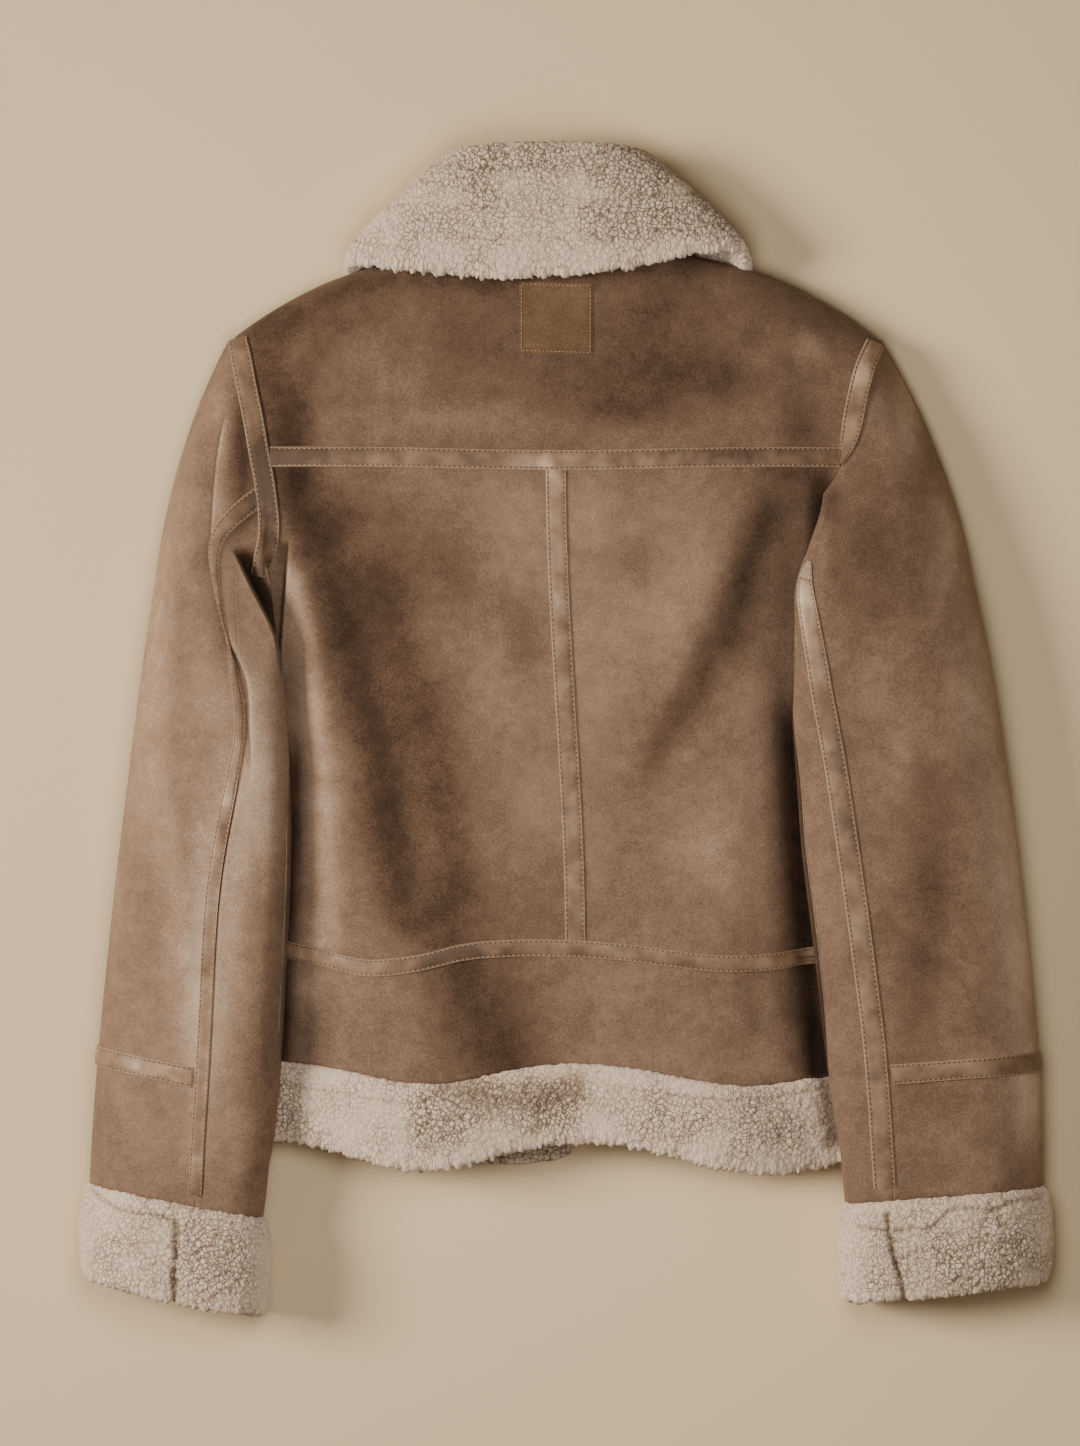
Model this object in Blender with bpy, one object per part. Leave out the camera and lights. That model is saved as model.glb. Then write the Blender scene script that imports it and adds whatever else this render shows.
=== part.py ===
"""Faux shearling aviator jacket, laid on its front with its back up and its sleeves down at its sides.

The cloth is faux suede bonded to fleece: thin walls that follow the garment's own surface, hollow
inside, with thick pile at the collar, hem and cuffs. Seams are covered by narrow sewn tapes.
Lengths below are millimetres: X to the right, Y from hem to collar, Z up from the surface that it
lies on. "out" is the distance from the middle of the back, to either side.
"""
import bmesh
import bpy
import numpy as np

MM = 0.001

# ---------------------------------------------------------------- driving sizes
MIDDLE_X = 2.0            # the middle of the back
WALL = 3.0                # suede bonded to its fleece
SLEEVE_WALL = 2.5
ROLL_THIN = 1.3           # how much thinner it is where it rolls over the armhole
SEAM = 0.3                # gap between pieces that are sewn together
TAPE_WIDE = 13.0
TAPE_THICK = 1.2
TAPE_LIFT = 0.55
BODY_HALF = 226.0         # chest and hem, laid flat
BODY_LOFT = 54.0          # height of the back above the surface
PRESSED_LOFT = 20.0       # height of the body where a sleeve lies on it
FOLD_Z = 10.0             # height of the side and shoulder folds
UNDERARM_Y = 60.0
TIP_Y, TIP_OUT = 248.0, 212.0      # shoulder tip
TOP_Y, TOP_OUT = 305.02, 60.0      # where the curve of the shoulder is level
NECK_Y, NECK_OUT = 304.0, 80.3     # where the shoulder meets the neck
BACK_NECK_Y = 301.0
FRONT_NECK_DEPTH = 50.0
FRONT_EDGE_X = 15.0       # where the two fronts meet
FRONT_EDGE_GAP = 1.0
COLLAR_WALL = 7.0

SUEDE, TAPE, PILE = "suede", "tape", "pile"
COLOURS = {  # linear base colour, roughness
    SUEDE: ((0.262, 0.168, 0.113), 0.95),
    TAPE: ((0.285, 0.192, 0.132), 0.55),
    PILE: ((0.620, 0.520, 0.440), 1.0),
}

# ---------------------------------------------------------------- seam lines of the body
# Each wave is one fold of the cloth: (middle x, half width, how far it hangs lower).
HEM_LINE = (-222.0, ((-82, 50, 16), (128, 62, 17)))
WAIST_LINE = (-147.0, ((-112, 45, 14), (120, 65, 11)))
YOKE_LINE = (170.5, ((4, 90, 2.5),))
TRIM_LINE = (-271.5, ((-85, 55, 22), (142, 70, 24)))

# (y, out): the armhole seam on the back and on the fronts, tip to underarm
ARMHOLE_BACK = (
    (248, 212), (222, 201), (198, 194.5), (167, 189), (143, 186), (120, 186), (100, 190), (80, 203), (60, 226),
)
ARMHOLE_FRONT = ((248, 212), (222, 194), (190, 181), (150, 174), (110, 177), (80, 198), (60, 226))

# Levels where the pieces have points along the armhole, so that both sides of the seam match.
BACK_LEVELS = (248, 236, 217, 197, 177, 170.5, 164, 151.5, 145, 138.5, 126, 112, 98, 84, 71, 60)
FRONT_LEVELS = (80, 105, 135, 170, 200, 216, 232)
FRONT_SLEEVE_SEAM = 135

# Largest folds of the back: (x, y) of one end, (x, y) of the other, half width, depth (a ridge is negative)
BACK_FOLDS = (
    (-118, 110, -98, -110, 26, 5.0),
    (-152, 90, -140, -120, 18, -4.0),
    (170, 158, 92, -30, 17, 7.0),
    (182, 165, 174, 85, 10, 6.0),
    (150, 228, 126, 178, 13, 3.5),
    (-182, 215, -176, 178, 8, 2.5),
    (-10, -150, 30, -300, 42, 5.0),
    (-82, -140, -84, -300, 36, -4.0),
    (128, -150, 135, -300, 40, -4.0),
    (60, 250, -20, 215, 22, 2.5),
)

# ---------------------------------------------------------------- sleeves
# One row for each section below the armhole: y at its outer and inner edge, and how far out its
# outer edge, back seam and inner edge are; the height of its crown and of its inner edge.
SECTION = ("outer_y", "inner_y", "outer", "seam", "inner", "crown", "inner_z")
LEFT_SECTIONS = (
    (0, 0, 273.5, 203, 174, 57, 42),
    (-52, -52, 280, 208, 171, 58, 42),
    (-84, -85, 284, 214.5, 171, 58, 42),
    (-117, -120, 288, 220.5, 172, 58, 42),
    (-182, -195, 294.5, 225.5, 176, 57, 41),
    (-211.5, -235.5, 297.5, 227.5, 178.5, 56, 39),
    (-218, -242, 298, 228, 179, 56, 38),
    (-224.5, -248.5, 298.5, 228.5, 180, 56, 38),
    (-262, -286, 301.5, 230.5, 183, 53, 34),
    (-302, -324, 303.5, 233, 188, 50, 26),
)
RIGHT_SECTIONS = (
    (0, 0, 290.5, 176, 156, 58, 42),
    (-52, -52, 298, 183, 159, 58, 42),
    (-117, -117, 306, 193, 164, 58, 42),
    (-182, -184, 312, 203, 172, 57, 41),
    (-215.5, -225.5, 315.5, 209.5, 176.5, 56, 39),
    (-222, -232, 316, 210.5, 177.5, 56, 38),
    (-228.5, -238.5, 316.5, 211.5, 178.5, 56, 38),
    (-264, -272, 318, 216, 183, 53, 34),
    (-304, -314, 318.5, 219, 187, 50, 26),
)

# Where the cloth of the sleeve heads as it leaves the armhole: (level, out, y, up)
LEFT_LEADS = (
    (248, 42, -72, 0), (212, 43, -50, 10), (177, 42, -34, 12), (151.5, 40, -20, 9), (138.5, 38, -18, 9),
    (130, 20, -18, 14), (120, 4, -16, 22), (110, -4, -12, 26), (98, -7, -8, 26), (86, -4, -6, 22),
    (76, 2, -6, 16), (67, 8, -6, 11), (60, 14, -4, 2),
)
RIGHT_LEADS = (
    (248, 48, -74, 0), (212, 40, -54, 12), (195, 18, -46, 20), (177, -24, -36, 28), (164, -46, -30, 32),
    (151.5, -40, -26, 20), (145, -36, -25, 14), (138.5, -34, -23, 10), (130, -28, -18, 10),
    (120, -24, -14, 22), (110, -21, -10, 26), (98, -18, -8, 26), (86, -9, -6, 22), (76, 0, -6, 16),
    (67, 8, -6, 11), (60, 14, -4, 2),
)
FRONT_LEADS = (
    (60, 14, -4, 2), (80, 34, 2, 0), (105, 38, -14, 0), (135, 38, -26, 0),
    (205, 40, -60, 0), (248, 45, -73, 0),
)
SHARES = (0.16, 0.32, 0.48, 0.64, 0.82)   # rows of points between armhole and first section
UNDERARM_SEAM_OUT = 221.0
RAMP_FOOT_OUT = 250.0

# Cross-section of the pile bands at hem and cuffs: (share of the band's length, mm out of the suede)
PILE_SECTION = (
    (0.0, 0.6), (0.12, 4.0), (0.5, 5.0), (0.86, 4.2), (1.0, -0.5), (0.86, -4.0), (0.12, -4.2), (0.0, -3.0),
)
CUFF_LENGTH = 60.0


# Lines that run round the neck along the collar:
# (half width, z at the back, z at the front, y at the back, y at the side, y at the front)
COLLAR_OUTSIDE = (
    (130, 47.5, 1.5, 287, 295.5, 213),     # edge of the leaf
    (134, 50, -5, 293, 301, 220),
    (106, 50, -4, 333, 331, 285),          # leaf
    (72, 47, -4, 365, 361, 335),
    (65, 43, -1, 374, 368, 342),           # fold
    (55, 37, 8, 374, 368, 342),
    (50, 33, 14, 368, 362, 336),
    (60, 32.5, 15, 338, 336, 300),         # stand, towards the neck
)
COLLAR_INSIDE = (
    (66, 40, 8.2, 343, 340, 302),          # stand, towards the leaf
    (61, 40.6, 7.6, 363, 357, 330),        # inside of the fold
    (99, 42.4, 6.8, 333, 331, 285),        # leaf
    (126, 42.0, 6.6, 290, 298, 217),
)
COLLAR_TURNS = np.radians([-178, -160, -139, -120, -106, -96, -88, -78, -65, -50, -34, -17, 0])
COLLAR_MID_Z = 24.0
COLLAR_LEAN = -5.0        # the collar lies a little to the left
# The leaf's edge lies unevenly on the back: (x where it starts to rise, over what length, how much)
LEAF_RISES = ((-20, 45, 5.0), (35, 60, 9.5), (105, 28, -5.0), (-40, -50, 4.0))
# How much each of the collar's lines goes with it
LEAF_FOLLOWS = {0: 1.0, 1: 1.0, 2: 0.4, 3: 0.1, -1: 1.0, -2: 0.4}


# ---------------------------------------------------------------- small shapes of curves
def smooth(t):
    t = np.clip(t, 0, 1)
    return t * t * (3 - 2 * t)


def dome(distance, radius):
    """0 at an edge, rising like a quarter circle to 1 at radius from it."""
    return np.sqrt(1 - (1 - np.clip(distance / radius, 0, 1)) ** 2)


def wave_line(line, x):
    base, waves = line
    return base - sum(drop * np.exp(-(((x - middle) / half) ** 2)) for middle, half, drop in waves)


def table_at(table, key, column):
    """A column of a table, read between its rows. The first column is the key."""
    rows = sorted(table)
    return np.interp(key, [row[0] for row in rows], [row[column] for row in rows])


def out_of(x):
    return np.abs(x - MIDDLE_X)


def shoulder_out(y):
    """How far out the shoulder fold is at a height y, above the shoulder tip."""
    return TOP_OUT + (TIP_OUT - TOP_OUT) * np.sqrt(np.clip((TOP_Y - y) / (TOP_Y - TIP_Y), 0, None))


def side_out(y, armhole):
    """The edge of a body panel at height y: the side fold, the armhole seam or the shoulder fold."""
    if y <= UNDERARM_Y:
        return BODY_HALF
    if y <= TIP_Y:
        return float(table_at(armhole, y, 1))
    return float(shoulder_out(y))


def collar_point(turn, line):
    """A point of one of the collar's lines: turn 0 is the middle of the back, 180 degrees the front."""
    half, top, bottom, back, beside, front = line
    s, c = np.sin(turn), np.cos(turn)
    x = half * np.sign(s) * abs(s) ** 0.75
    z = (top + bottom) / 2 + (top - bottom) / 2 * np.sign(c) * abs(c) ** (0.7 if c > 0 else 0.2)
    far = back if c > 0 else front
    return x, far + (beside - far) * (1 - abs(c) ** 1.3), z


def collar_edge(way):
    """Out and y of the leaf's inner edge, on the back (1) or the front (-1), for reading between."""
    turns = np.radians(np.linspace(0, 90, 19) if way > 0 else np.linspace(180, 90, 19))
    points = np.array([collar_point(turn, COLLAR_INSIDE[-1]) for turn in turns])
    return points[:, 0], points[:, 1]


def collar_inside(out, way):
    """Height of the inner face of the collar's leaf. It is read on its nearer side, for both sides."""
    out = out + abs(COLLAR_LEAN)
    turns = np.radians(np.linspace(0, 90, 19) if way > 0 else np.linspace(180, 90, 19))
    points = np.array([collar_point(turn, COLLAR_INSIDE[-1]) for turn in turns])
    return np.interp(out, points[:, 0], points[:, 2])


def fold_z(x, y):
    """Height of the side and shoulder folds: the collar under the fronts lifts the shoulder."""
    return FOLD_Z + 9 * smooth((172 - out_of(x)) / 45) * smooth((y - 245) / 25)


def shoulder_distance(x, y):
    out = out_of(x)
    fold_y = TOP_Y - (TOP_Y - TIP_Y) * (np.clip(out - TOP_OUT, 0, None) / (TIP_OUT - TOP_OUT)) ** 2
    beside_neck = np.hypot(NECK_OUT - out, np.clip(NECK_Y - y, 0, None))
    return np.where(out < NECK_OUT, beside_neck, np.clip(fold_y - y, 0, None) * 0.88)


def fold_depth(x, y, folds):
    """Soft troughs and ridges, each along a line, fading at its ends."""
    depth = np.zeros_like(x + y)
    for x0, y0, x1, y1, half, deep in folds:
        along = np.array([x1 - x0, y1 - y0], float)
        length = np.hypot(*along)
        along /= length
        s = ((x - x0) * along[0] + (y - y0) * along[1]) / length
        off = (x - x0) * along[1] - (y - y0) * along[0]
        fade = smooth((s + 0.25) / 0.4) * smooth((1.25 - s) / 0.4)
        depth = depth + deep * fade * np.exp(-((off / half) ** 2))
    return depth


def back_height(x, y):
    """Height of the outer face of the back above the surface it lies on."""
    out = out_of(x)
    loft = BODY_LOFT - 14 * smooth((y - 150) / 140) - 14 * smooth((-100 - y) / 140)
    free = smooth((y - 40) / 110)                      # 0 beside the sleeves, 1 at the shoulders
    pressed = smooth((out - 92) / 98) * (1 - free)
    z = loft * (1 - pressed) + PRESSED_LOFT * pressed - 12 * smooth((out - 120) / 85) * free
    inside = 1 - smooth((out - 165) / 25) * (1 - free)
    z = z - fold_depth(x, y, BACK_FOLDS) * inside
    fold = fold_z(x, y)
    z = fold + (z - fold) * dome(shoulder_distance(x, y), 32)
    side = BODY_HALF + np.clip(y - UNDERARM_Y, 0, None) * 1.5 - out
    z = fold + (z - fold) * dome(side, 11)
    under_leaf = collar_inside(out, 1) - 1.5 + 0.8 * np.clip(284 - y, 0, None) + np.clip(out - 112, 0, None)
    return np.maximum(np.minimum(z, under_leaf), fold)


def front_height(x, y):
    """Height of the outer face of the fronts, which is the underside: flat but for its edges and collar."""
    out = out_of(x)
    leaf_y = np.interp(out, *collar_edge(-1))
    over_leaf = smooth((y - leaf_y + 46) / 16) * smooth((145 - out) / 12)
    lift = np.minimum(collar_inside(out, -1) + 3.6, 15.2) * over_leaf
    side = BODY_HALF + np.clip(y - UNDERARM_Y, 0, None) * 1.5 - out
    edge = np.minimum(dome(side, 11), dome(shoulder_distance(x, y), 16))
    fold = fold_z(x, y)
    return np.minimum(np.maximum(fold + (np.minimum(lift, fold) - fold) * edge, lift), fold)


# ---------------------------------------------------------------- building solids from rows of points
def material(kind):
    found = bpy.data.materials.get(kind)
    if found:
        return found
    colour, rough = COLOURS[kind]
    made = bpy.data.materials.new(kind)
    made.use_nodes = True
    shader = made.node_tree.nodes["Principled BSDF"]
    shader.inputs["Base Color"].default_value = (*colour, 1)
    shader.inputs["Roughness"].default_value = rough
    made.diffuse_color = (*colour, 1)
    return made


def add_solid(name, points, faces, kind):
    mesh = bpy.data.meshes.new(name)
    body = bmesh.new()
    corners = [body.verts.new(p) for p in np.asarray(points, float).reshape(-1, 3) * MM]
    for face in faces:
        body.faces.new([corners[i] for i in face])
    bmesh.ops.recalc_face_normals(body, faces=body.faces)
    body.to_mesh(mesh)
    body.free()
    mesh.shade_smooth()
    mesh.set_sharp_from_angle(angle=0.9)
    piece = bpy.data.objects.new(name, mesh)
    piece.data.materials.append(material(kind))
    bpy.context.scene.collection.objects.link(piece)
    return piece


def grid_faces(rows, columns, start, wrap_columns=False, wrap_rows=False, flip=False, turn_at=None):
    """Triangles over a grid of points, split along one diagonal, and along the other from turn_at on."""
    faces = []
    for i in range(rows if wrap_rows else rows - 1):
        for j in range(columns if wrap_columns else columns - 1):
            a = start + i * columns + j
            b = start + i * columns + (j + 1) % columns
            c = start + (i + 1) % rows * columns + (j + 1) % columns
            d = start + (i + 1) % rows * columns + j
            if turn_at is not None and i >= turn_at:
                faces += [(b, d, a), (b, c, d)]
            else:
                faces += [(a, c, b), (a, d, c)] if flip else [(a, b, c), (a, c, d)]
    return faces


def add_wall(name, outer, inner, kind):
    """A wall between an outer and an inner grid of points, closed round its rim."""
    rows, columns = outer.shape[:2]
    count = rows * columns
    faces = grid_faces(rows, columns, 0) + grid_faces(rows, columns, count, flip=True)
    bottom = [j for j in range(columns)]
    right = [i * columns + columns - 1 for i in range(rows)]
    top = [(rows - 1) * columns + j for j in range(columns)][::-1]
    left = [i * columns for i in range(rows)][::-1]
    rim = bottom[:-1] + right[:-1] + top[:-1] + left[:-1]
    for a, b in zip(rim, rim[1:] + rim[:1]):
        faces += [(b, a, a + count), (b, a + count, b + count)]
    return add_solid(name, np.concatenate([outer.reshape(-1, 3), inner.reshape(-1, 3)]), faces, kind)


def add_loft(name, loops, kind, ring=False, turn_at=None):
    """Closed loops of points joined one to the next: a ring, or a run capped at both ends."""
    count, around = loops.shape[:2]
    faces = grid_faces(count, around, 0, wrap_columns=True, wrap_rows=ring, turn_at=turn_at)
    if not ring:
        faces.append(tuple(range(around)))
        faces.append(tuple((count - 1) * around + j for j in range(around)))
    return add_solid(name, loops, faces, kind)


def normals_of(grid):
    """Unit normals of a grid of points, to the side that (columns x rows) points to."""
    along = np.gradient(grid, axis=1)
    across = np.gradient(grid, axis=0)
    n = np.cross(along, across)
    return n / np.maximum(np.linalg.norm(n, axis=2, keepdims=True), 1e-9)


# ---------------------------------------------------------------- the body
EDGE_STEPS = np.array([0, 1.6, TAPE_WIDE / 2])


def centre_seam_x(y):
    """The back seam leans a little towards the right at the hem."""
    return 2.6 + 12.5 * smooth((161 - y) / 306)


def half_row(level, side, armhole, seam_x, inner_columns=7):
    """Points' x from the middle of the back out to one side, along one row."""
    edge = MIDDLE_X + side * side_out(level, armhole)
    start = seam_x + side * SEAM / 2
    first = seam_x + side * TAPE_WIDE / 2
    span = abs(edge - first) - EDGE_STEPS[-1]
    run = first + side * span * np.linspace(0, 1, inner_columns + 1)
    x = np.concatenate([[start], run[:-1], edge - side * EDGE_STEPS[::-1]])
    return x


def body_rows():
    """Rows of the back from hem to neck: (level at the sides, function of x that gives y, piece)."""
    def between(low, high, share):
        return lambda x: wave_line(low, x) * (1 - share) + wave_line(high, x) * share

    def beside(line, shift):
        return lambda x: wave_line(line, x) + shift

    rows = [("band", beside(HEM_LINE, SEAM / 2)), ("band", between(HEM_LINE, WAIST_LINE, 0.33)),
            ("band", between(HEM_LINE, WAIST_LINE, 0.66)), ("band", beside(WAIST_LINE, -WAIST_TAPE / 2)),
            ("band", beside(WAIST_LINE, -SEAM / 2)),
            ("panel", beside(WAIST_LINE, SEAM / 2)), ("panel", beside(WAIST_LINE, WAIST_TAPE / 2))]
    for y in (-105, -60, -12, 32):
        bend = smooth((60 - y) / 200)
        rows.append(("panel", lambda x, y=y, bend=bend: y + (wave_line(WAIST_LINE, x) + 152) * bend))
    for y in BACK_LEVELS[::-1]:
        if y < 164:
            rows.append(("panel", lambda x, y=y: y + 0 * x))
    rows += [("panel", beside(YOKE_LINE, -TAPE_WIDE / 2)), ("panel", beside(YOKE_LINE, -SEAM / 2)),
             ("yoke", beside(YOKE_LINE, SEAM / 2)), ("yoke", beside(YOKE_LINE, TAPE_WIDE / 2))]
    for y in BACK_LEVELS[::-1]:
        if y > 177:
            rows.append(("yoke", lambda x, y=y: y + 0 * x))
    for y in (263, 278, 291, NECK_Y):
        share = (y - TIP_Y) / (NECK_Y - TIP_Y)

        def row(x, y=y, share=share):
            out = np.clip(out_of(x), 0, NECK_OUT)
            neck = BACK_NECK_Y + (NECK_Y - BACK_NECK_Y) * (out / NECK_OUT) ** 2
            return np.where(out_of(x) < NECK_OUT, TIP_Y + (neck - TIP_Y) * share, y)
        rows.append(("yoke", row))
    return rows


WAIST_TAPE = 11.0


def back_half(piece, side):
    """One half of a back piece as rows of points, from the middle out."""
    points = []
    for kind, y_of_x in body_rows():
        if kind != piece:
            continue
        level = float(y_of_x(np.array(MIDDLE_X + side * 200.0)))
        if level > TIP_Y + 1:
            level = float(y_of_x(np.array(MIDDLE_X + side * 90.0)))
        seam_x = 2.6 if piece == "yoke" else float(centre_seam_x(y_of_x(np.array(MIDDLE_X))))
        x = half_row(level, side, ARMHOLE_BACK, seam_x)
        y = y_of_x(x)
        x = x.copy()
        if UNDERARM_Y < level <= TIP_Y:
            x[-1] -= side * (SEAM / 2 + 1.0 * smooth((level - 222) / 12))
        points.append(np.stack([x, y, back_height(x, y)], axis=1))
    return np.array(points)


def whole_back(piece):
    """Both halves in one grid, left to right."""
    left, right = back_half(piece, -1), back_half(piece, 1)
    return np.concatenate([left[:, :0:-1], right[:, 1:]], axis=1)


def at_fold(y):
    """Rows whose end is the side or shoulder fold, not the armhole."""
    return (y <= UNDERARM_Y) | (y > TIP_Y)


def fold_direction(points):
    """Level, straight out of the side fold or of the sloping shoulder fold."""
    side = np.sign(points[:, 0] - MIDDLE_X)
    slope = 2 * (TOP_Y - TIP_Y) / (TIP_OUT - TOP_OUT) ** 2 * np.clip(out_of(points[:, 0]) - TOP_OUT, 0, None)
    shoulder = points[:, 1] > TIP_Y
    straight = np.stack([side, 0 * side, 0 * side], axis=1)
    sloping = np.stack([side * slope, 1 + 0 * side, 0 * side], axis=1) / np.sqrt(1 + slope**2)[:, None]
    return np.where(shoulder[:, None], sloping, straight)


def cut_rims(grid, normals, sides, centre=None):
    """Directions of the wall at its rim, so that both pieces of a seam are cut on the same plane."""
    normals[[0, -1], :, 1] = 0
    if centre is not None:
        normals[:, centre, 0] = 0
    for column in sides:
        fold = at_fold(grid[:, column, 1])
        normals[fold, column] = fold_direction(grid[fold, column])
        normals[~fold, column, 0] = 0
        normals[grid[:, column, 1] == TIP_Y, column] = (0, 1, 0)
    return normals / np.maximum(np.linalg.norm(normals, axis=2, keepdims=True), 1e-9)


def add_panel(name, grid, sides, centre=None, up=1):
    """A panel of the body. up is 1 for the back and -1 for the fronts."""
    near = {0: (0, 1), -1: (-1, -2)}
    fold = fold_z(grid[..., 0], grid[..., 1]) + up * (SEAM / 2 + 0.65 * smooth((grid[..., 1] - 248) / 8))
    limit = np.maximum if up > 0 else np.minimum
    for column in sides:
        for k in near[column]:
            grid[:, k, 2] = limit(grid[:, k, 2], fold[:, k])
    normals = normals_of(grid)
    normals = cut_rims(grid, normals * up * np.sign(normals[..., 2:3] + 1e-6), sides, centre)
    inner = grid - normals * WALL
    for column in sides:
        for k in near[column]:
            level = at_fold(grid[:, column, 1])
            inner[level, k, 2] = limit(inner[level, k, 2], fold[level, k])
    add_wall(name, grid, inner, SUEDE)
    return grid, normals


def build_back():
    surfaces = {}
    surfaces["band"] = add_panel("back_hem_band", whole_back("band"), (0, -1))
    surfaces["left"] = add_panel("back_panel_left", back_half("panel", -1)[:, ::-1], (0,), centre=-1)
    surfaces["right"] = add_panel("back_panel_right", back_half("panel", 1), (-1,), centre=0)
    surfaces["yoke"] = add_panel("back_yoke", whole_back("yoke"), (0, -1))
    return surfaces


def front_levels():
    low = (-222, -100, 20, 60)
    return low + FRONT_LEVELS + (TIP_Y, 263, 278, 291, NECK_Y)


def front_half(side):
    """One front as rows of points from its front edge out to the side; outer face down."""
    points = []
    for y in front_levels():
        edge = MIDDLE_X + side * side_out(y, ARMHOLE_FRONT)
        start = FRONT_EDGE_X + side * FRONT_EDGE_GAP / 2
        span = abs(edge - start) - EDGE_STEPS[-1]
        x = np.concatenate([start + side * span * np.linspace(0, 1, 8)[:-1], edge - side * EDGE_STEPS[::-1]])
        row = np.full_like(x, float(y))
        if y == -222:
            row = front_trim_y(x, side) + 50.0
        if y > TIP_Y:
            share = (y - TIP_Y) / (NECK_Y - TIP_Y)
            out = np.clip(out_of(x) / NECK_OUT, 0, 1)
            neck = NECK_Y - FRONT_NECK_DEPTH * np.sqrt(1 - out**2)
            row = np.where(out < 1, TIP_Y + (neck - TIP_Y) * share, y)
        if UNDERARM_Y < y <= TIP_Y:
            x = x.copy()
            x[-1] -= side * (SEAM / 2 + 1.4 * smooth((y - 216) / 14))
        points.append(np.stack([x, row, front_height(x, row)], axis=1))
    return np.array(points)


def front_trim_y(x, side):
    """Lower edge of the fronts' pile band. The left front hangs lower at its corner."""
    if side < 0:
        return -293.5 + 21 * smooth((-50 - x) / 110)
    return -268 - 4 * smooth((x - 60) / 100)


def build_fronts():
    fronts = {}
    for name, side in (("left", -1), ("right", 1)):
        fronts[name] = add_panel(f"front_{name}", front_half(side), (-1,), centre=0, up=-1)
    return fronts


# ---------------------------------------------------------------- sleeves
def armhole_point(level, front, side):
    table = ARMHOLE_FRONT if front else ARMHOLE_BACK
    out = float(table_at(table, level, 1)) + SEAM / 2
    x = MIDDLE_X + side * out
    height = front_height if front else back_height
    return np.array([out, level, float(height(np.array(x), np.array(float(level))))])


def resting_height(out, y):
    """What a sleeve lies on: the body's side, or the surface beyond it."""
    on_body = np.maximum(back_height(MIDDLE_X + out, y), PRESSED_LOFT) + 3 + 5 * smooth((-195 - y) / 25)
    past_hem = smooth((-292 - y) / 22)
    return on_body * (1 - past_hem)


def section_ring(section):
    """The points of one cross-section, as (out, y, z), in the order of the armhole's levels."""
    s = dict(zip(SECTION, section))
    half_tape = TAPE_WIDE / 2
    tape_out, tape_in = s["seam"] + half_tape, s["seam"] - half_tape
    outer_part = s["outer"] - (s["outer"] - tape_out) * (1 - np.cos(np.linspace(0, 1, 8) * np.pi / 2))
    inner_part = tape_in - (tape_in - s["inner"]) * np.sin(np.array([1, 2, 3]) / 3 * np.pi / 2)
    top = np.concatenate([outer_part, [s["seam"], tape_in], inner_part])
    under = s["inner"] + (UNDERARM_SEAM_OUT - s["inner"]) * np.array([0.2, 0.55, 1.0])
    floor = RAMP_FOOT_OUT + (s["outer"] - RAMP_FOOT_OUT) * np.array([0, 0.18, 0.36, 0.56, 0.74, 0.89, 0.975])
    out = np.concatenate([top, under, floor])
    y = s["outer_y"] + (s["inner_y"] - s["outer_y"]) * (s["outer"] - out) / (s["outer"] - s["inner"])
    past_hem = smooth((-285 - s["outer_y"]) / 15)
    outer_z = 14.0
    z_top = (s["crown"] - (s["crown"] - outer_z) * (1 - dome(s["outer"] - top, 52))
             - (s["crown"] - s["inner_z"]) * (1 - dome(top - s["inner"], 22)))
    rest = resting_height(under, y[len(top):len(top) + len(under)])
    z_under = rest + (s["inner_z"] - rest) * (1 - dome(under - s["inner"], 20))
    z_floor = outer_z * (1 - dome(s["outer"] - floor, 12))
    return np.stack([out, y, np.concatenate([z_top, z_under, z_floor])], axis=1)


def sleeve_grid(sections, leads, side):
    """Rows of points from the armhole to the cuff, each row a closed ring: (row, level, xyz)."""
    rings = np.array([section_ring(s) for s in sections])
    levels = [(level, False) for level in BACK_LEVELS] + [(level, True) for level in FRONT_LEVELS]
    columns = []
    for j, (level, front) in enumerate(levels):
        start = armhole_point(level, front, side)
        table = FRONT_LEADS if front else leads
        lead = np.array([table_at(table, level, k) for k in (1, 2, 3)])
        end = rings[0, j]
        tail = rings[0, j] - rings[1, j]
        tail *= np.linalg.norm(end - start) / 3 / np.linalg.norm(tail)
        one, two = start + lead, end + tail
        first = TAPE_WIDE / 2 / (3 * np.linalg.norm(lead))
        t = np.array([0, min(first, 0.1), *SHARES])[:, None]
        columns.append((1 - t) ** 3 * start + 3 * (1 - t) ** 2 * t * one + 3 * (1 - t) * t**2 * two + t**3 * end)
    grid = np.concatenate([np.stack(columns, axis=1), rings])
    grid[..., 2] = np.maximum(grid[..., 2], 0)
    grid[..., 0] = MIDDLE_X + side * grid[..., 0]
    return grid


def ring_normals(grid):
    wrapped = np.concatenate([grid[:, -2:], grid, grid[:, :2]], axis=1)
    return normals_of(wrapped)[:, 2:-2]


def rim_directions(back, front, name):
    """How the body's wall is cut along the armhole, level by level."""
    edge = 0 if name == "left" else -1
    directions = []
    for levels, pieces in ((BACK_LEVELS, (back[name], back["yoke"])), (FRONT_LEVELS, (front,))):
        for level in levels:
            surface, normals = pieces[-1] if level > YOKE_LINE[0] else pieces[0]
            column = edge if len(pieces) == 2 else -1
            row = int(np.argmin(np.abs(surface[:, column, 1] - level)))
            directions.append(normals[row, column])
    return np.array(directions)


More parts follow.
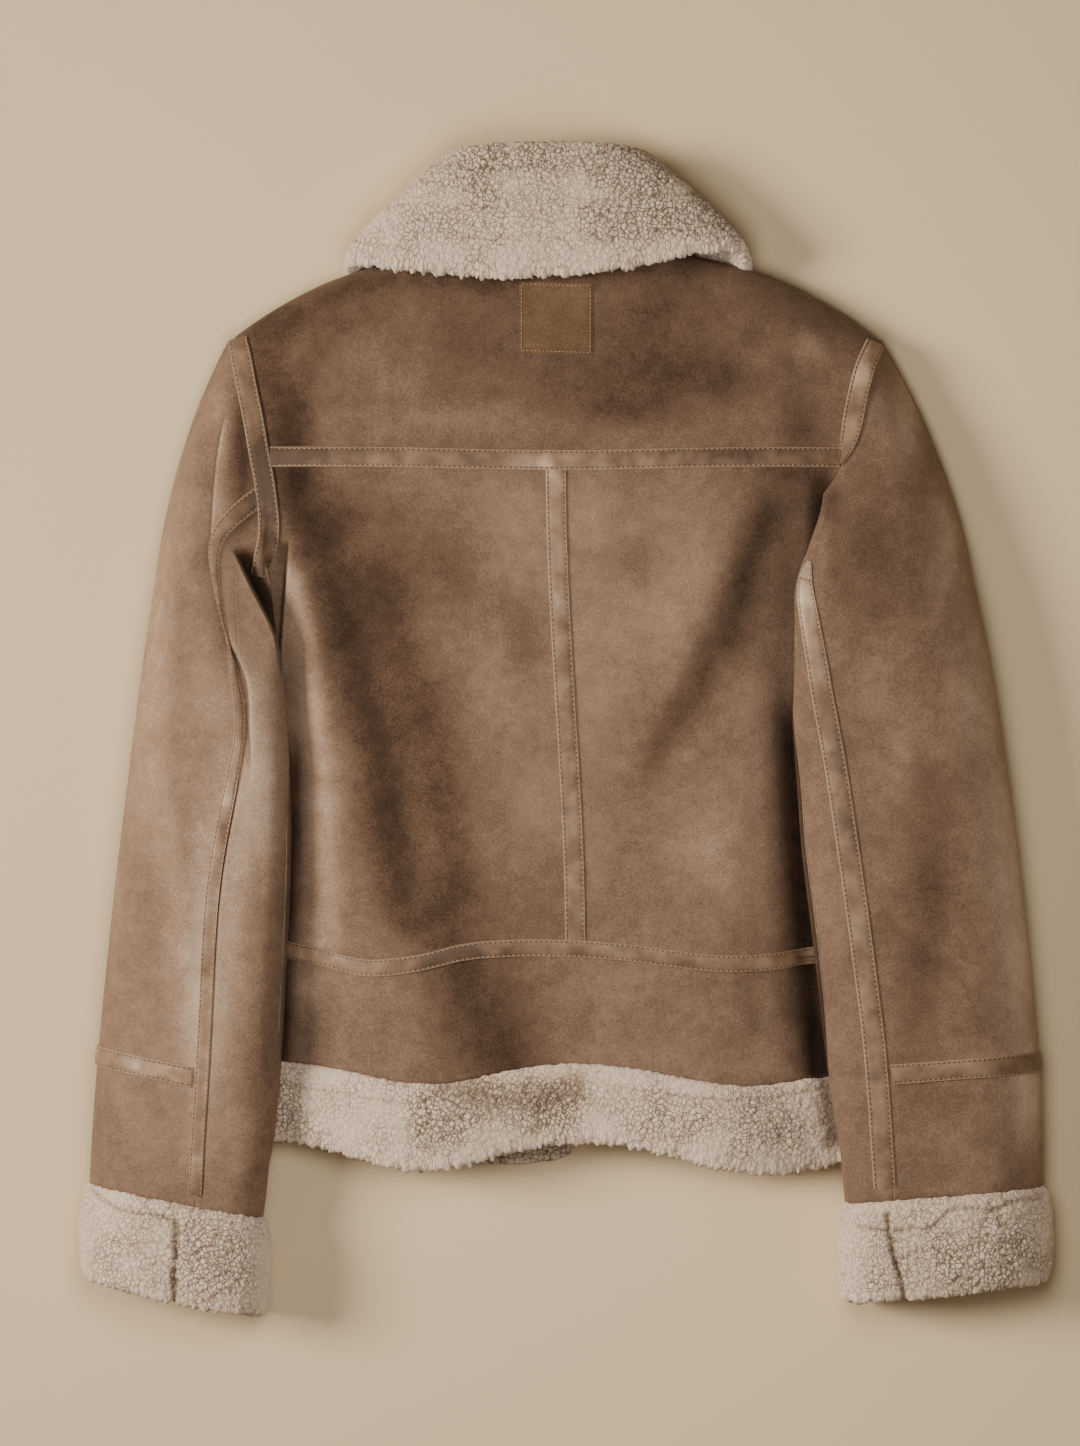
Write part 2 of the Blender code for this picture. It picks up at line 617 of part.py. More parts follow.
def build_sleeve(name, sections, leads, side, rims):
    grid = sleeve_grid(sections, leads, side)
    normals = ring_normals(grid) * side
    cross = grid.shape[0] - 4
    normals[0] = rims
    normals[[cross, -1], :, 1] = 0
    normals /= np.linalg.norm(normals, axis=2, keepdims=True)
    seam = BACK_LEVELS.index(145)
    rows, columns = np.indices(grid.shape[:2])
    rolled = np.exp(-(((columns - seam) / 3.0) ** 2)) * (rows > 0) * (rows < len(SHARES) + 2)
    inner = grid - normals * (SLEEVE_WALL - ROLL_THIN * rolled)[..., None]
    front_seam = len(BACK_LEVELS) + FRONT_LEVELS.index(FRONT_SLEEVE_SEAM)
    count = grid.shape[1]

    def cut(columns, rows):
        """A panel of the sleeve, its edges drawn back by half a seam."""
        outer, under = grid[rows][:, columns].copy(), inner[rows][:, columns].copy()
        for edge, beside in ((0, 1), (-1, -2)):
            step = outer[:, beside] - outer[:, edge]
            step *= SEAM / 2 / np.linalg.norm(step, axis=1, keepdims=True)
            outer[:, edge] += step
            under[:, edge] += step * 1.6
        return outer, under

    upper = [(front_seam + k) % count for k in range(count - front_seam + seam + 1)]
    lower = list(range(seam, front_seam + 1))
    long_rows = list(range(cross + 1))
    short_rows = list(range(cross, grid.shape[0]))
    outer, under = cut(upper, long_rows)
    outer[-1, :, 1] += SEAM / 2
    under[-1, :, 1] += SEAM / 2
    add_wall(f"sleeve_{name}_upper", outer, under, SUEDE)
    outer, under = cut(upper, short_rows)
    outer[0, :, 1] -= SEAM / 2
    under[0, :, 1] -= SEAM / 2
    add_wall(f"sleeve_{name}_forearm", outer, under, SUEDE)
    outer, under = cut(lower, list(range(grid.shape[0])))
    add_wall(f"sleeve_{name}_under", outer, under, SUEDE)
    return {"grid": grid, "normals": normals, "seam": seam, "upper": upper, "cross": cross}


# ---------------------------------------------------------------- tapes, patch
def add_tape(name, rows, normals, kind=TAPE):
    """A tape made from the points of what it lies on, moved out."""
    rows = np.array(rows)
    normals = np.array(normals)
    bottom = rows + normals * TAPE_LIFT
    top = rows + normals * (TAPE_LIFT + TAPE_THICK)
    add_wall(name, top, bottom, kind)


def build_tapes(back, sleeves):
    (band, band_n), (yoke, yoke_n) = back["band"], back["yoke"]
    (left, left_n), (right, right_n) = back["left"], back["right"]
    trim = slice(2, -2)
    upper_edge = np.concatenate([left[1], right[1, 1:]])
    upper_n = np.concatenate([left_n[1], right_n[1, 1:]])
    low, seam = band[3], band[4]
    top = np.stack([np.interp(low[:, 0], upper_edge[:, 0], upper_edge[:, k]) for k in range(3)], axis=1)
    top_n = np.stack([np.interp(low[:, 0], upper_edge[:, 0], upper_n[:, k]) for k in range(3)], axis=1)
    add_tape("waist_tape", [low[trim], seam[trim], top[trim]], [band_n[3][trim], band_n[4][trim], top_n[trim]])

    stop = slice(2, -2)
    panel_top = np.concatenate([left[-2], right[-2, 1:]])
    panel_n = np.concatenate([left_n[-2], right_n[-2, 1:]])
    over, over_n = yoke[1], yoke_n[1]
    low = np.stack([np.interp(over[:, 0], panel_top[:, 0], panel_top[:, k]) for k in range(3)], axis=1)
    low_n = np.stack([np.interp(over[:, 0], panel_top[:, 0], panel_n[:, k]) for k in range(3)], axis=1)
    rows = [drawn_in(row[stop], 2.4) for row in (low, yoke[0], over)]
    add_tape("yoke_tape", rows, [low_n[stop], yoke_n[0][stop], over_n[stop]])

    rows = slice(1, -1)
    columns = [left[rows, -2], (left[rows, -1] + right[rows, 0]) / 2, right[rows, 1]]
    columns_n = [left_n[rows, -2], left_n[rows, -1], right_n[rows, 1]]
    centre = np.stack(columns, axis=1)
    centre[0, :, 1] += 2.2
    centre[-1, :, 1] -= 2.2
    add_tape("centre_tape", centre, np.stack(columns_n, axis=1))

    for name, side, panel, panel_n, column in (("left", -1, left, left_n, 0), ("right", 1, right, right_n, -1)):
        sleeve = sleeves[name]
        last = BACK_LEVELS.index(98 if side < 0 else 126)
        columns = [2, 1, 0] if side < 0 else [-3, -2, -1]
        tape, tape_n = [], []
        for j, level in enumerate(BACK_LEVELS[:last + 1]):
            surface, surface_n = (yoke, yoke_n) if level > YOKE_LINE[0] else (panel, panel_n)
            row = int(np.argmin(np.abs(surface[:, column, 1] - level)))
            tape.append([*surface[row, columns], sleeve["grid"][1, j]])
            tape_n.append([*surface_n[row, columns], sleeve["normals"][1, j]])
        tape, tape_n = np.array(tape)[1:], np.array(tape_n)[1:]
        tape_n[:, 2] += tape_n[:, 1] + tape_n[:, 3]
        tape_n /= np.linalg.norm(tape_n, axis=2, keepdims=True)
        add_tape(f"armhole_tape_{name}", tape, tape_n)

        seam = sleeve["seam"]
        rows = slice(2 if side < 0 else 3, None)
        strip = slice(seam - 1, seam + 2)
        add_tape(f"sleeve_{name}_seam_tape", sleeve["grid"][rows, strip], sleeve["normals"][rows, strip])
        upper = sleeve["upper"][3:-1]
        cross = sleeve["cross"]
        band_rows = [drawn_in(row, 1.0) for row in sleeve["grid"][cross - 1:cross + 2][:, upper]]
        add_tape(f"sleeve_{name}_cross_tape", band_rows, sleeve["normals"][cross - 1:cross + 2][:, upper])


def drawn_in(row, by):
    """A row of points with its two ends moved in along it."""
    row = row.copy()
    for end, beside in ((0, 1), (-1, -2)):
        step = row[beside] - row[end]
        row[end] += step * by / np.linalg.norm(step)
    return row


def build_patch():
    """A bare square of the same suede, stitched on below the collar."""
    x = np.linspace(-21.5, 26.5, 5)
    y = np.linspace(237.0, 283.5, 4)
    rows = np.array([[(a, b + 1.5 * (2.5 - a) / 48, 0) for a in x] for b in y])
    rows[..., 2] = back_height(rows[..., 0], rows[..., 1]) + 0.5
    normals = normals_of(rows)
    add_tape("back_patch", rows, normals, SUEDE)


# ---------------------------------------------------------------- pile
def pile_loops(edge, down, normals, lengths):
    """A closed loop of the pile's section at each point of the suede's edge."""
    loops = []
    for point, along, normal, length in zip(edge, down, normals, lengths):
        loop = [point + along * (SEAM + share * length) + normal * rise for share, rise in PILE_SECTION]
        loops.append(loop)
    loops = np.array(loops)
    loops[..., 2] = np.maximum(loops[..., 2], 0)
    return loops


def build_hem(back, fronts):
    band, band_n = back["band"]
    edge, normals = band[0], band_n[0]
    x = edge[:, 0]
    lengths = edge[:, 1] - wave_line(TRIM_LINE, x) - SEAM
    down = np.tile([0.0, -1.0, 0.0], (len(x), 1))
    loops = pile_loops(edge, down, normals, lengths)
    at_edge = np.broadcast_to(edge[:, None, 1], loops[..., 1].shape)
    slope = back_height(loops[..., 0], loops[..., 1]) - back_height(loops[..., 0], at_edge)
    loops[1:-1, :, 2] += slope[1:-1]
    for end in (0, -1):
        loops[end, :, 2] = FOLD_Z + SEAM / 2
    add_loft("hem_pile_back", loops, PILE)
    for name, side in (("left", -1), ("right", 1)):
        grid, front_n = fronts[name]
        edge, normals = grid[0], front_n[0]
        lengths = edge[:, 1] - front_trim_y(edge[:, 0], side) - SEAM
        corner = 7 * (1 - dome(np.abs(edge[:, 0] - FRONT_EDGE_X), 12))
        down = np.tile([0.0, -1.0, 0.0], (len(edge), 1))
        loops = pile_loops(edge, down, normals, lengths - corner)
        loops[-1, :, 2] = FOLD_Z - SEAM / 2
        add_loft(f"hem_pile_front_{name}", loops, PILE)


def build_cuff(name, sleeve, side):
    grid, normals = sleeve["grid"], sleeve["normals"]
    edge = grid[-1]
    down = np.tile([side * 0.02, -1.0, 0.0], (len(edge), 1))
    flat = normals[-1].copy()
    flat[:, 1] = 0
    flat /= np.linalg.norm(flat, axis=1, keepdims=True)
    droop = 5.0 * np.exp(-(((edge[:, 0] - (MIDDLE_X + side * 235)) / 60) ** 2))
    loops = pile_loops(edge, down, flat, CUFF_LENGTH + droop)
    add_loft(f"cuff_{name}", loops, PILE, ring=True)


def build_collar():
    loops = []
    for turn in np.concatenate([COLLAR_TURNS, -COLLAR_TURNS[-2::-1]]):
        outside = [collar_point(turn, line) for line in COLLAR_OUTSIDE]
        inside = [collar_point(turn, line) for line in COLLAR_INSIDE]
        loops.append(outside + [neck_point(turn, COLLAR_WALL), neck_point(turn, 0)] + inside)
    loops = np.array(loops)
    loops[..., 0] += MIDDLE_X
    loops[..., 2] = np.maximum(loops[..., 2], 0)
    lean = [k for k in range(loops.shape[1]) if k not in (len(COLLAR_OUTSIDE), len(COLLAR_OUTSIDE) + 1)]
    turns = np.concatenate([COLLAR_TURNS, -COLLAR_TURNS[-2::-1]])[:, None]
    to_front_edge = (FRONT_EDGE_X - MIDDLE_X - COLLAR_LEAN) * np.minimum(np.cos(turns), 0) ** 8
    loops[:, lean, 0] += COLLAR_LEAN + to_front_edge
    for line, share in LEAF_FOLLOWS.items():
        rise = sum(up * smooth((loops[:, line, 0] - start) / run) for start, run, up in LEAF_RISES)
        loops[:, line, 1] += rise * share * smooth(np.cos(turns[:, 0]) / 0.3)
    add_loft("collar", loops, PILE, turn_at=len(COLLAR_TURNS) - 1)


def neck_point(turn, inward):
    """A point of the collar's edge at the neck seam, just past the rim of the body."""
    s, c = np.sin(turn), np.cos(turn)
    x = NECK_OUT * np.sign(s) * abs(s) ** 0.75 + (FRONT_EDGE_X - MIDDLE_X) * min(c, 0) ** 8
    x = float(np.clip(x, -NECK_OUT, NECK_OUT))
    out = abs(x) / NECK_OUT
    if c > 0:
        y = BACK_NECK_Y + (NECK_Y - BACK_NECK_Y) * out**2
        z = float(back_height(MIDDLE_X + x, np.array(y)))
    else:
        y = NECK_Y - FRONT_NECK_DEPTH * np.sqrt(max(1 - out**2, 0))
        z = float(front_height(MIDDLE_X + x, np.array(y)))
    towards = np.array([-x * 0.25, COLLAR_MID_Z - z])
    towards *= inward / max(np.linalg.norm(towards), 1e-6)
    return (x + towards[0], y + SEAM + 0.7, z + towards[1])


# ---------------------------------------------------------------- build
def centre_on_origin():
    """Puts the origin under the middle of the whole jacket, on the surface it lies on."""
    corners = np.array([v.co for piece in bpy.context.scene.objects for v in piece.data.vertices])
    low, high = corners.min(axis=0), corners.max(axis=0)
    shift = -(low + high) / 2
    shift[2] = -low[2]
    for piece in bpy.context.scene.objects:
        for vertex in piece.data.vertices:
            vertex.co = np.array(vertex.co) + shift


def main():
    for old in list(bpy.data.objects):
        bpy.data.objects.remove(old)
    back = build_back()
    fronts = build_fronts()
    sleeves = {}
    cuts = (("left", LEFT_SECTIONS, LEFT_LEADS, -1), ("right", RIGHT_SECTIONS, RIGHT_LEADS, 1))
    for name, sections, leads, side in cuts:
        rims = rim_directions(back, fronts[name], name)
        sleeves[name] = build_sleeve(name, sections, leads, side, rims)
    build_tapes(back, sleeves)
    build_patch()
    build_hem(back, fronts)
    build_cuff("left", sleeves["left"], -1)
    build_cuff("right", sleeves["right"], 1)
    build_collar()
    centre_on_origin()


main()
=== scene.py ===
"""A faux shearling aviator jacket laid flat on its front: the cloth, tapes, stitching and pile.

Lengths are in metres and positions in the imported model's frame, unless a name says mm.
The jacket is put together in the order in which it is sewn: back, fronts, sleeves,
tapes, patch, then the pile of collar, cuffs and hem, and last the table and the light.
"""
import math

import bmesh
import bpy
import numpy as np
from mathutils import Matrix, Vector, noise
from mathutils.bvhtree import BVHTree
from mathutils.kdtree import KDTree


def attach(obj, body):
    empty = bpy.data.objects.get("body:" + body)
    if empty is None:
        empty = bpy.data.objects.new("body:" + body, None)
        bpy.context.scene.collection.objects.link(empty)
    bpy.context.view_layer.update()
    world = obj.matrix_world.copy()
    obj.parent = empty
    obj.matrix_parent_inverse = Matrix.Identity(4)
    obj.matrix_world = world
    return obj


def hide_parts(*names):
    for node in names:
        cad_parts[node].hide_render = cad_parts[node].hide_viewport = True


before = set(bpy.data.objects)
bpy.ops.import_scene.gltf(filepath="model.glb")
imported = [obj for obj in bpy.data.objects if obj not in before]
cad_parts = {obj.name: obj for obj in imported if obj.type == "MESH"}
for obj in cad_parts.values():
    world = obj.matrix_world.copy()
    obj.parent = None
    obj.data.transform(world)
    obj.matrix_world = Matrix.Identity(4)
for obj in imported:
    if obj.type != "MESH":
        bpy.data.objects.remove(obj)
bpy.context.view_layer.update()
MM = 0.001


# ---------------------------------------------------------------- the back
# A yoke, two panels and a band, cut from polyester microsuede bonded to a fleece and
# sewn edge to edge. The cloth is soft and thick, so it lies in long shallow folds.
def linear(colour):
    """An sRGB hex colour as a linear one."""
    parts = [int(colour[k:k + 2], 16) / 255 for k in (1, 3, 5)]
    return [c / 12.92 if c <= 0.04045 else ((c + 0.055) / 1.055) ** 2.4 for c in parts] + [1.0]


def node(material, kind, inputs=None, **settings):
    """Adds a node to a material, with its settings, and its inputs as values or as links."""
    made = material.node_tree.nodes.new(kind)
    for name, value in settings.items():
        setattr(made, name, value)
    for name, value in (inputs or {}).items():
        if isinstance(value, bpy.types.NodeSocket):
            material.node_tree.links.new(value, made.inputs[name])
        else:
            made.inputs[name].default_value = value
    return made


def plain(name, inputs):
    """A new material with its constants set, and its surface."""
    material = bpy.data.materials.new(name)
    material.use_nodes = True
    surface = material.node_tree.nodes["Principled BSDF"]
    for socket, value in inputs.items():
        surface.inputs[socket].default_value = value
    return material, surface


def join(material, socket, surface, name):
    material.node_tree.links.new(socket, surface.inputs[name])


def stored(material, name, output="Fac"):
    return node(material, "ShaderNodeAttribute", attribute_name=name, attribute_type="GEOMETRY").outputs[output]


def shades(material, amount, stops):
    """A colour ramp over an amount: (place, colour) for each stop."""
    ramp = node(material, "ShaderNodeValToRGB", {"Fac": amount})
    marks = ramp.color_ramp.elements
    while len(marks) < len(stops):
        marks.new(0.5)
    for mark, (place, colour) in zip(marks, stops):
        mark.position, mark.color = place, linear(colour)
    return ramp.outputs["Color"]


def microsuede(name, dark, middle, light, lightened):
    """Microsuede, brushed: its short nap leans this way and that, so the colour is softly clouded and
    finely speckled, and it has no gloss, only a soft bloom at a low angle. The stored nap adds painted
    shade and painted light."""
    suede, surface = plain(name, {
        "Roughness": 0.94, "Specular IOR Level": 0.15, "Sheen Weight": 0.22, "Sheen Roughness": 0.45,
        "Sheen Tint": linear("#dcc2a4")})
    place = node(suede, "ShaderNodeTexCoord").outputs["Object"]
    clouds = node(suede, "ShaderNodeTexNoise", {  # 60 mm clouds, where hands have brushed it
        "Vector": place, "Scale": 1 / 0.060, "Detail": 2.0, "Roughness": 0.5, "Distortion": 0.6}).outputs["Fac"]
    mottles = node(suede, "ShaderNodeTexNoise", {  # 9 mm mottles
        "Vector": place, "Scale": 1 / 0.009, "Detail": 3.0, "Roughness": 0.55}).outputs["Fac"]
    grain = node(suede, "ShaderNodeTexNoise", {  # the nap's clumps, 1.5 mm, coarser than the fibres
        "Vector": place, "Scale": 1 / 0.0015, "Detail": 2.0, "Roughness": 0.65}).outputs["Fac"]
    tone = 0.065
    # the stored nap: the nap's own tone, with painted shade and painted light on it
    for part, share in ((clouds, 0.30), (mottles, 0.22), (grain, 0.40), (stored(suede, "nap"), 0.35)):
        tone = node(suede, "ShaderNodeMath", {0: part, 1: share, 2: tone}, operation="MULTIPLY_ADD").outputs[0]
    colour = shades(suede, tone, ((0.0, "#21160f"), (0.25, dark), (0.50, middle), (0.72, light), (1.0, lightened)))
    join(suede, colour, surface, "Base Color")
    fine = node(suede, "ShaderNodeBump", {"Height": grain, "Strength": 0.55, "Distance": 0.0005})
    soft = node(suede, "ShaderNodeBump", {
        "Height": mottles, "Strength": 0.25, "Distance": 0.0010, "Normal": fine.outputs["Normal"]})
    join(suede, soft.outputs["Normal"], surface, "Normal")
    return suede


SUEDE = microsuede("microsuede_brushed", "#463529", "#6b5646", "#8e7663", "#bda590")


def fleece_back():
    """The knitted fleece bonded behind the suede: short, matt and cream, seen at its cut edges."""
    fleece, surface = plain("bonded_fleece", {"Roughness": 1.0, "Specular IOR Level": 0.1, "Sheen Weight": 0.4})
    curls = node(fleece, "ShaderNodeTexVoronoi", {  # 4 mm curls
        "Vector": node(fleece, "ShaderNodeTexCoord").outputs["Object"], "Scale": 1 / 0.004},
        feature="SMOOTH_F1").outputs["Distance"]
    colour = shades(fleece, curls, ((0.0, "#d9cabb"), (0.55, "#bda793"), (0.9, "#8f7a66")))
    join(fleece, colour, surface, "Base Color")
    bump = node(fleece, "ShaderNodeBump", {"Height": curls, "Strength": 0.8, "Distance": 0.0015}, invert=True)
    join(fleece, bump.outputs["Normal"], surface, "Normal")
    return fleece


FLEECE = fleece_back()

# Creases of the cloth: points (x, y) along it, half width, depth; a ridge is negative.
# All in mm.
CREASES = [
    # the left of the back, below the yoke, dragged towards the armhole: a ridge, then a long hollow
    (((-186, 118), (-178, 92), (-166, 52), (-154, -9), (-148, -70), (-146, -130)), 12, -2.8),
    (((-176, 156), (-155, 116), (-130, 66), (-113, 24), (-102, -24), (-92, -80), (-76, -136)), 18, 7.0),
    (((-178, 122), (-172, 96), (-166, 60), (-160, 24), (-156, -20)), 14, -4.6),
    (((-178, 0), (-180, -80), (-184, -140), (-187, -200), (-188, -240)), 6, 6.0),
    (((-96, 128), (-88, 70), (-90, 20)), 15, 0.9),
    (((-60, -50), (-70, -104), (-92, -134)), 13, 1.5),
    (((-128, -96), (-104, -124), (-78, -139)), 7, 1.3),
    (((-30, 60), (-40, 10), (-36, -50)), 16, 0.7),
    # the back falls away beside the right sleeve
    (((140, 34), (146, -20), (151, -70), (157, -130), (163, -190), (168, -240)), 12, 9.0),
    # the right of the back, from the armhole down to the waist
    (((140, 152), (124, 116), (102, 64), (68, 4)), 13, 2.8),
    (((166, 148), (163, 118), (165, 84)), 6, 2.8),
    (((138, 60), (118, 0), (100, -66)), 13, -1.6),
    (((60, -20), (54, -70), (60, -118)), 15, 1.1),
    (((30, 110), (40, 60), (34, 12)), 16, 0.8),
    (((86, -96), (112, -124), (146, -138)), 7, 1.3),
    # the yoke
    (((-120, 262), (-96, 236), (-60, 220)), 12, 1.3),
    (((134, 270), (116, 238), (96, 210)), 11, 2.2),
    (((146, 246), (138, 222), (128, 200)), 12, -1.7),
    (((92, 262), (74, 240), (58, 226)), 11, -1.0),
    (((-150, 196), (-130, 208), (-96, 212)), 12, 0.9),
    (((-176, 236), (-170, 214), (-172, 190)), 9, 1.2),
    (((40, 262), (30, 232), (36, 204)), 13, 0.8),
    # the band, gathered a little where it is sewn to the panels and the pile
    (((-150, -150), (-146, -176), (-150, -206)), 8, 1.2),
    (((-116, -160), (-108, -186), (-112, -214)), 9, 1.4),
    (((-40, -152), (-46, -180), (-42, -212)), 10, -1.0),
    (((18, -150), (22, -182), (12, -216)), 9, 1.1),
    (((70, -152), (78, -184), (74, -214)), 10, 1.3),
    (((118, -156), (126, -186), (120, -214)), 9, 1.5),
    (((152, -152), (148, -176), (156, -200)), 7, 1.0),
    # left sleeve
    (((-250, 150), (-262, 96), (-266, 40), (-268, -10)), 13, 1.6),
    (((-256, -18), (-252, -64), (-247, -116), (-243, -172)), 7, -2.0),
    (((-272, -40), (-268, -110), (-262, -170)), 11, 1.4),
    (((-200, -20), (-204, -90), (-212, -170)), 10, -1.0),
    (((-286, -150), (-262, -160), (-246, -156)), 8, 0.9),
    (((-296, -236), (-276, -228), (-258, -232)), 7, 0.8),
    (((-288, -296), (-270, -288), (-256, -290)), 7, 1.2),
    (((-222, -232), (-216, -262), (-222, -296)), 7, 1.1),
    # right sleeve
    (((206, 214), (212, 176), (216, 128)), 11, -1.5),
    (((228, 196), (240, 150), (246, 100)), 13, 1.4),
    (((176, 112), (196, 84), (226, 64)), 9, 1.3),
    (((180, 66), (206, 44), (232, 40)), 8, -1.0),
    (((196, 10), (224, -18), (250, -26)), 11, 1.2),
    (((212, -60), (236, -84), (262, -88)), 9, -1.0),
    (((206, -120), (232, -146), (262, -150)), 9, 1.3),
    (((226, -232), (246, -226), (270, -236)), 8, 1.1),
    (((222, -286), (240, -280), (258, -288), (282, -282)), 8, 1.5),
]
# Folds with a sharp edge: whose they are, points along each, how far its high side, on the
# left of the line's own way, stands up and its low side lies down, how far each of these reaches,
# and how far the edge hangs over. All in mm.
FOLDS = [
    # the left sleeve's inner part lies over its outer one, from the shoulder past the elbow
    ("", ((-220, 214), (-226.4, 183.3), (-229.1, 155.7), (-230.7, 125.3), (-230.9, 110.5), (-230, 99.4),
      (-227.3, 88.4), (-221, 66.3), (-217.3, 55.5), (-213, 46.4), (-209.1, 37.3), (-206.1, 26), (-205.4, 8),
      (-204, -36)), 3.4, 3.4, 13, 12, 1.2),
    # the hollow between that sleeve and the armhole
    ("sleeve_left", ((-185, 34), (-186, 48), (-189.5, 64.2), (-197.5, 80), (-207.3, 98.8), (-215.6, 117.5)),
     1.4, 14, 8, 11, 0.6),
    # the seam beside that sleeve's tape, below the fold
    ("", ((-206, 0), (-210.4, -30), (-213.7, -45.5), (-219.1, -71.4), (-223.4, -99.5), (-226.7, -132),
          (-228.8, -174.9), (-231, -218.4), (-234.2, -261.3), (-236.4, -308.8), (-236.8, -318)),
     0.9, 0.9, 5, 5, 0),
    # the back's edge beside the hollow
    ("back", ((-180.6, 126), (-181.2, 111), (-182.2, 98), (-183.8, 84), (-185.4, 64), (-186.6, 46), (-186, 30)),
     3.0, 2.5, 12, 9, 0.4),
]
# Where the cloth is drawn aside by more: a piece's group, the middle (x, y), its reach, how far (x, y)
DRAWN_ASIDE = [
    ("sleeve_right", (160, 92), 34, (-7.5, 0)),
    ("sleeve_right", (158, 52), 30, (-3.5, 0)),
    ("sleeve_right", (160, 0), 36, (-2.5, 0)),
    ("sleeve_right", (164, -70), 40, (-1.8, 0)),
]
# Where the shoulder seams draw two edges together: whose, points (x, y), half width, how far (x, y, z)
LIFTED = [
    ("front", ((-224, 248), (-198, 269.5), (-172, 284.5), (-143, 297.5)), 8, (0.7, -1.4, 1.2)),
    ("back_yoke", ((-224, 248), (-198, 269.5), (-172, 284.5), (-143, 297.5)), 6, (0, 0, -0.7)),
    ("front", ((126, 297.5), (156, 284.5), (182, 269.5), (210, 246)), 8, (-0.7, -1.4, 1.2)),
    ("back_yoke", ((126, 297.5), (156, 284.5), (182, 269.5), (210, 246)), 6, (0, 0, -0.7)),
]


def ease(t):
    t = np.clip(t, 0, 1)
    return t * t * (3 - 2 * t)


def rounded(line):
    """A line of points with its corners rounded off."""
    ends = np.array(line, float)
    for _ in range(2):
        cut = np.empty((2 * len(ends) - 2, ends.shape[1]))
        cut[0::2] = 0.75 * ends[:-1] + 0.25 * ends[1:]
        cut[1::2] = 0.25 * ends[:-1] + 0.75 * ends[1:]
        ends = np.vstack([ends[:1], cut, ends[-1:]])
    return ends


def near_line(points, line, reach):
    """The points within reach of a line of (x, y), all in mm and seen from above: which they are, how far
    off, how far along from 0 to 1, 1 on the line's left and -1 on its right, and the way to the line."""
    ends = rounded(line)
    low, high = ends.min(axis=0) - reach, ends.max(axis=0) + reach
    which = np.nonzero(((points[:, :2] > low * MM) & (points[:, :2] < high * MM)).all(axis=1))[0]
    spots = points[which, :2] / MM
    nearest, along, side, begun = np.full(len(spots), 1e9), np.zeros(len(spots)), np.ones(len(spots)), 0.0
    to_line = np.zeros((len(spots), 2))
    for start, end in zip(ends[:-1], ends[1:]):
        length = np.linalg.norm(end - start)
        way = (end - start) / length
        offset = spots - start
        t = np.clip(offset @ way, 0, length)
        towards = t[:, None] * way - offset
        away = np.linalg.norm(towards, axis=1)
        closer = away < nearest
        side[closer] = np.where(way[0] * offset[:, 1] - way[1] * offset[:, 0] > 0, 1.0, -1.0)[closer]
        along[closer] = (begun + t)[closer]
        to_line[closer] = (towards / np.maximum(away, 1e-6)[:, None])[closer]
        nearest[closer] = away[closer]
        begun += length
    return which, nearest, along / begun, side, to_line


def settle(points, group, faces_up, lining):
    """How the cloth's own creases and folds move each point. The side that lies on the table stays. The
    lining does not follow the cloth up into a fold, and steps down behind its edge."""
    raised_off = ease((points[:, 2] / MM + np.where(lining, 2.2, 0) - 11) / 16)
    top = raised_off * ease((faces_up + 0.10) / 0.35)
    shift, hollow = np.zeros_like(points), np.zeros(len(points))
    for line, half, depth in CREASES:
        which, away, along, _, _ = near_line(points, line, 2.6 * half)
        fade = ease(np.minimum(along, 1 - along) / 0.3 + 0.12)
        shift[which, 2] -= depth * np.exp(-((away / half) ** 2)) * fade
    for whose, line, rise, sink, up_reach, down_reach, hang in FOLDS:
        if not group.startswith(whose):
            continue
        which, away, along, side, to_line = near_line(points, line, 2.4 * max(up_reach, down_reach))
        fade = ease(np.minimum(along, 1 - along) / 0.16)
        high = ease((away * side - np.where(lining[which], 3.2, 0)) / 2.2 + 0.5)
        raised = np.where(lining[which], 0, rise) * np.exp(-((away / up_reach) ** 2)) * high
        hollow[which] += sink * np.exp(-((away / down_reach) ** 2)) * (1 - high) * fade
        shift[which, 2] += raised * fade
        lip = np.where(lining[which], 0, hang) * fade * high * np.exp(-(((away - 1.2) / 1.8) ** 2))
        shift[which, :2] += to_line * lip[:, None]
    waves = np.array([noise.noise((x / 46, y / 46, z / 60)) + 0.5 * noise.noise((x / 19 + 7, y / 19, z / 30))
                      for x, y, z in points / MM])
    shift[:, 2] += 0.7 * waves
    shift *= top[:, None]
    shift[:, 2] -= hollow * raised_off
    for whose, middle, reach, far in DRAWN_ASIDE:
        if group.startswith(whose):
            away = np.linalg.norm(points[:, :2] / MM - middle, axis=1)
            shift[:, :2] += (np.exp(-((away / reach) ** 2)) * raised_off)[:, None] * far
    for whose, line, half, far in LIFTED:
        if group.startswith(whose):
            which, away, *_ = near_line(points, line, 2.6 * half)
            weight = np.exp(-((away / half) ** 2)) * ease((points[which, 2] / MM - 2) / 5)
            shift[which] += weight[:, None] * far
    return shift * MM
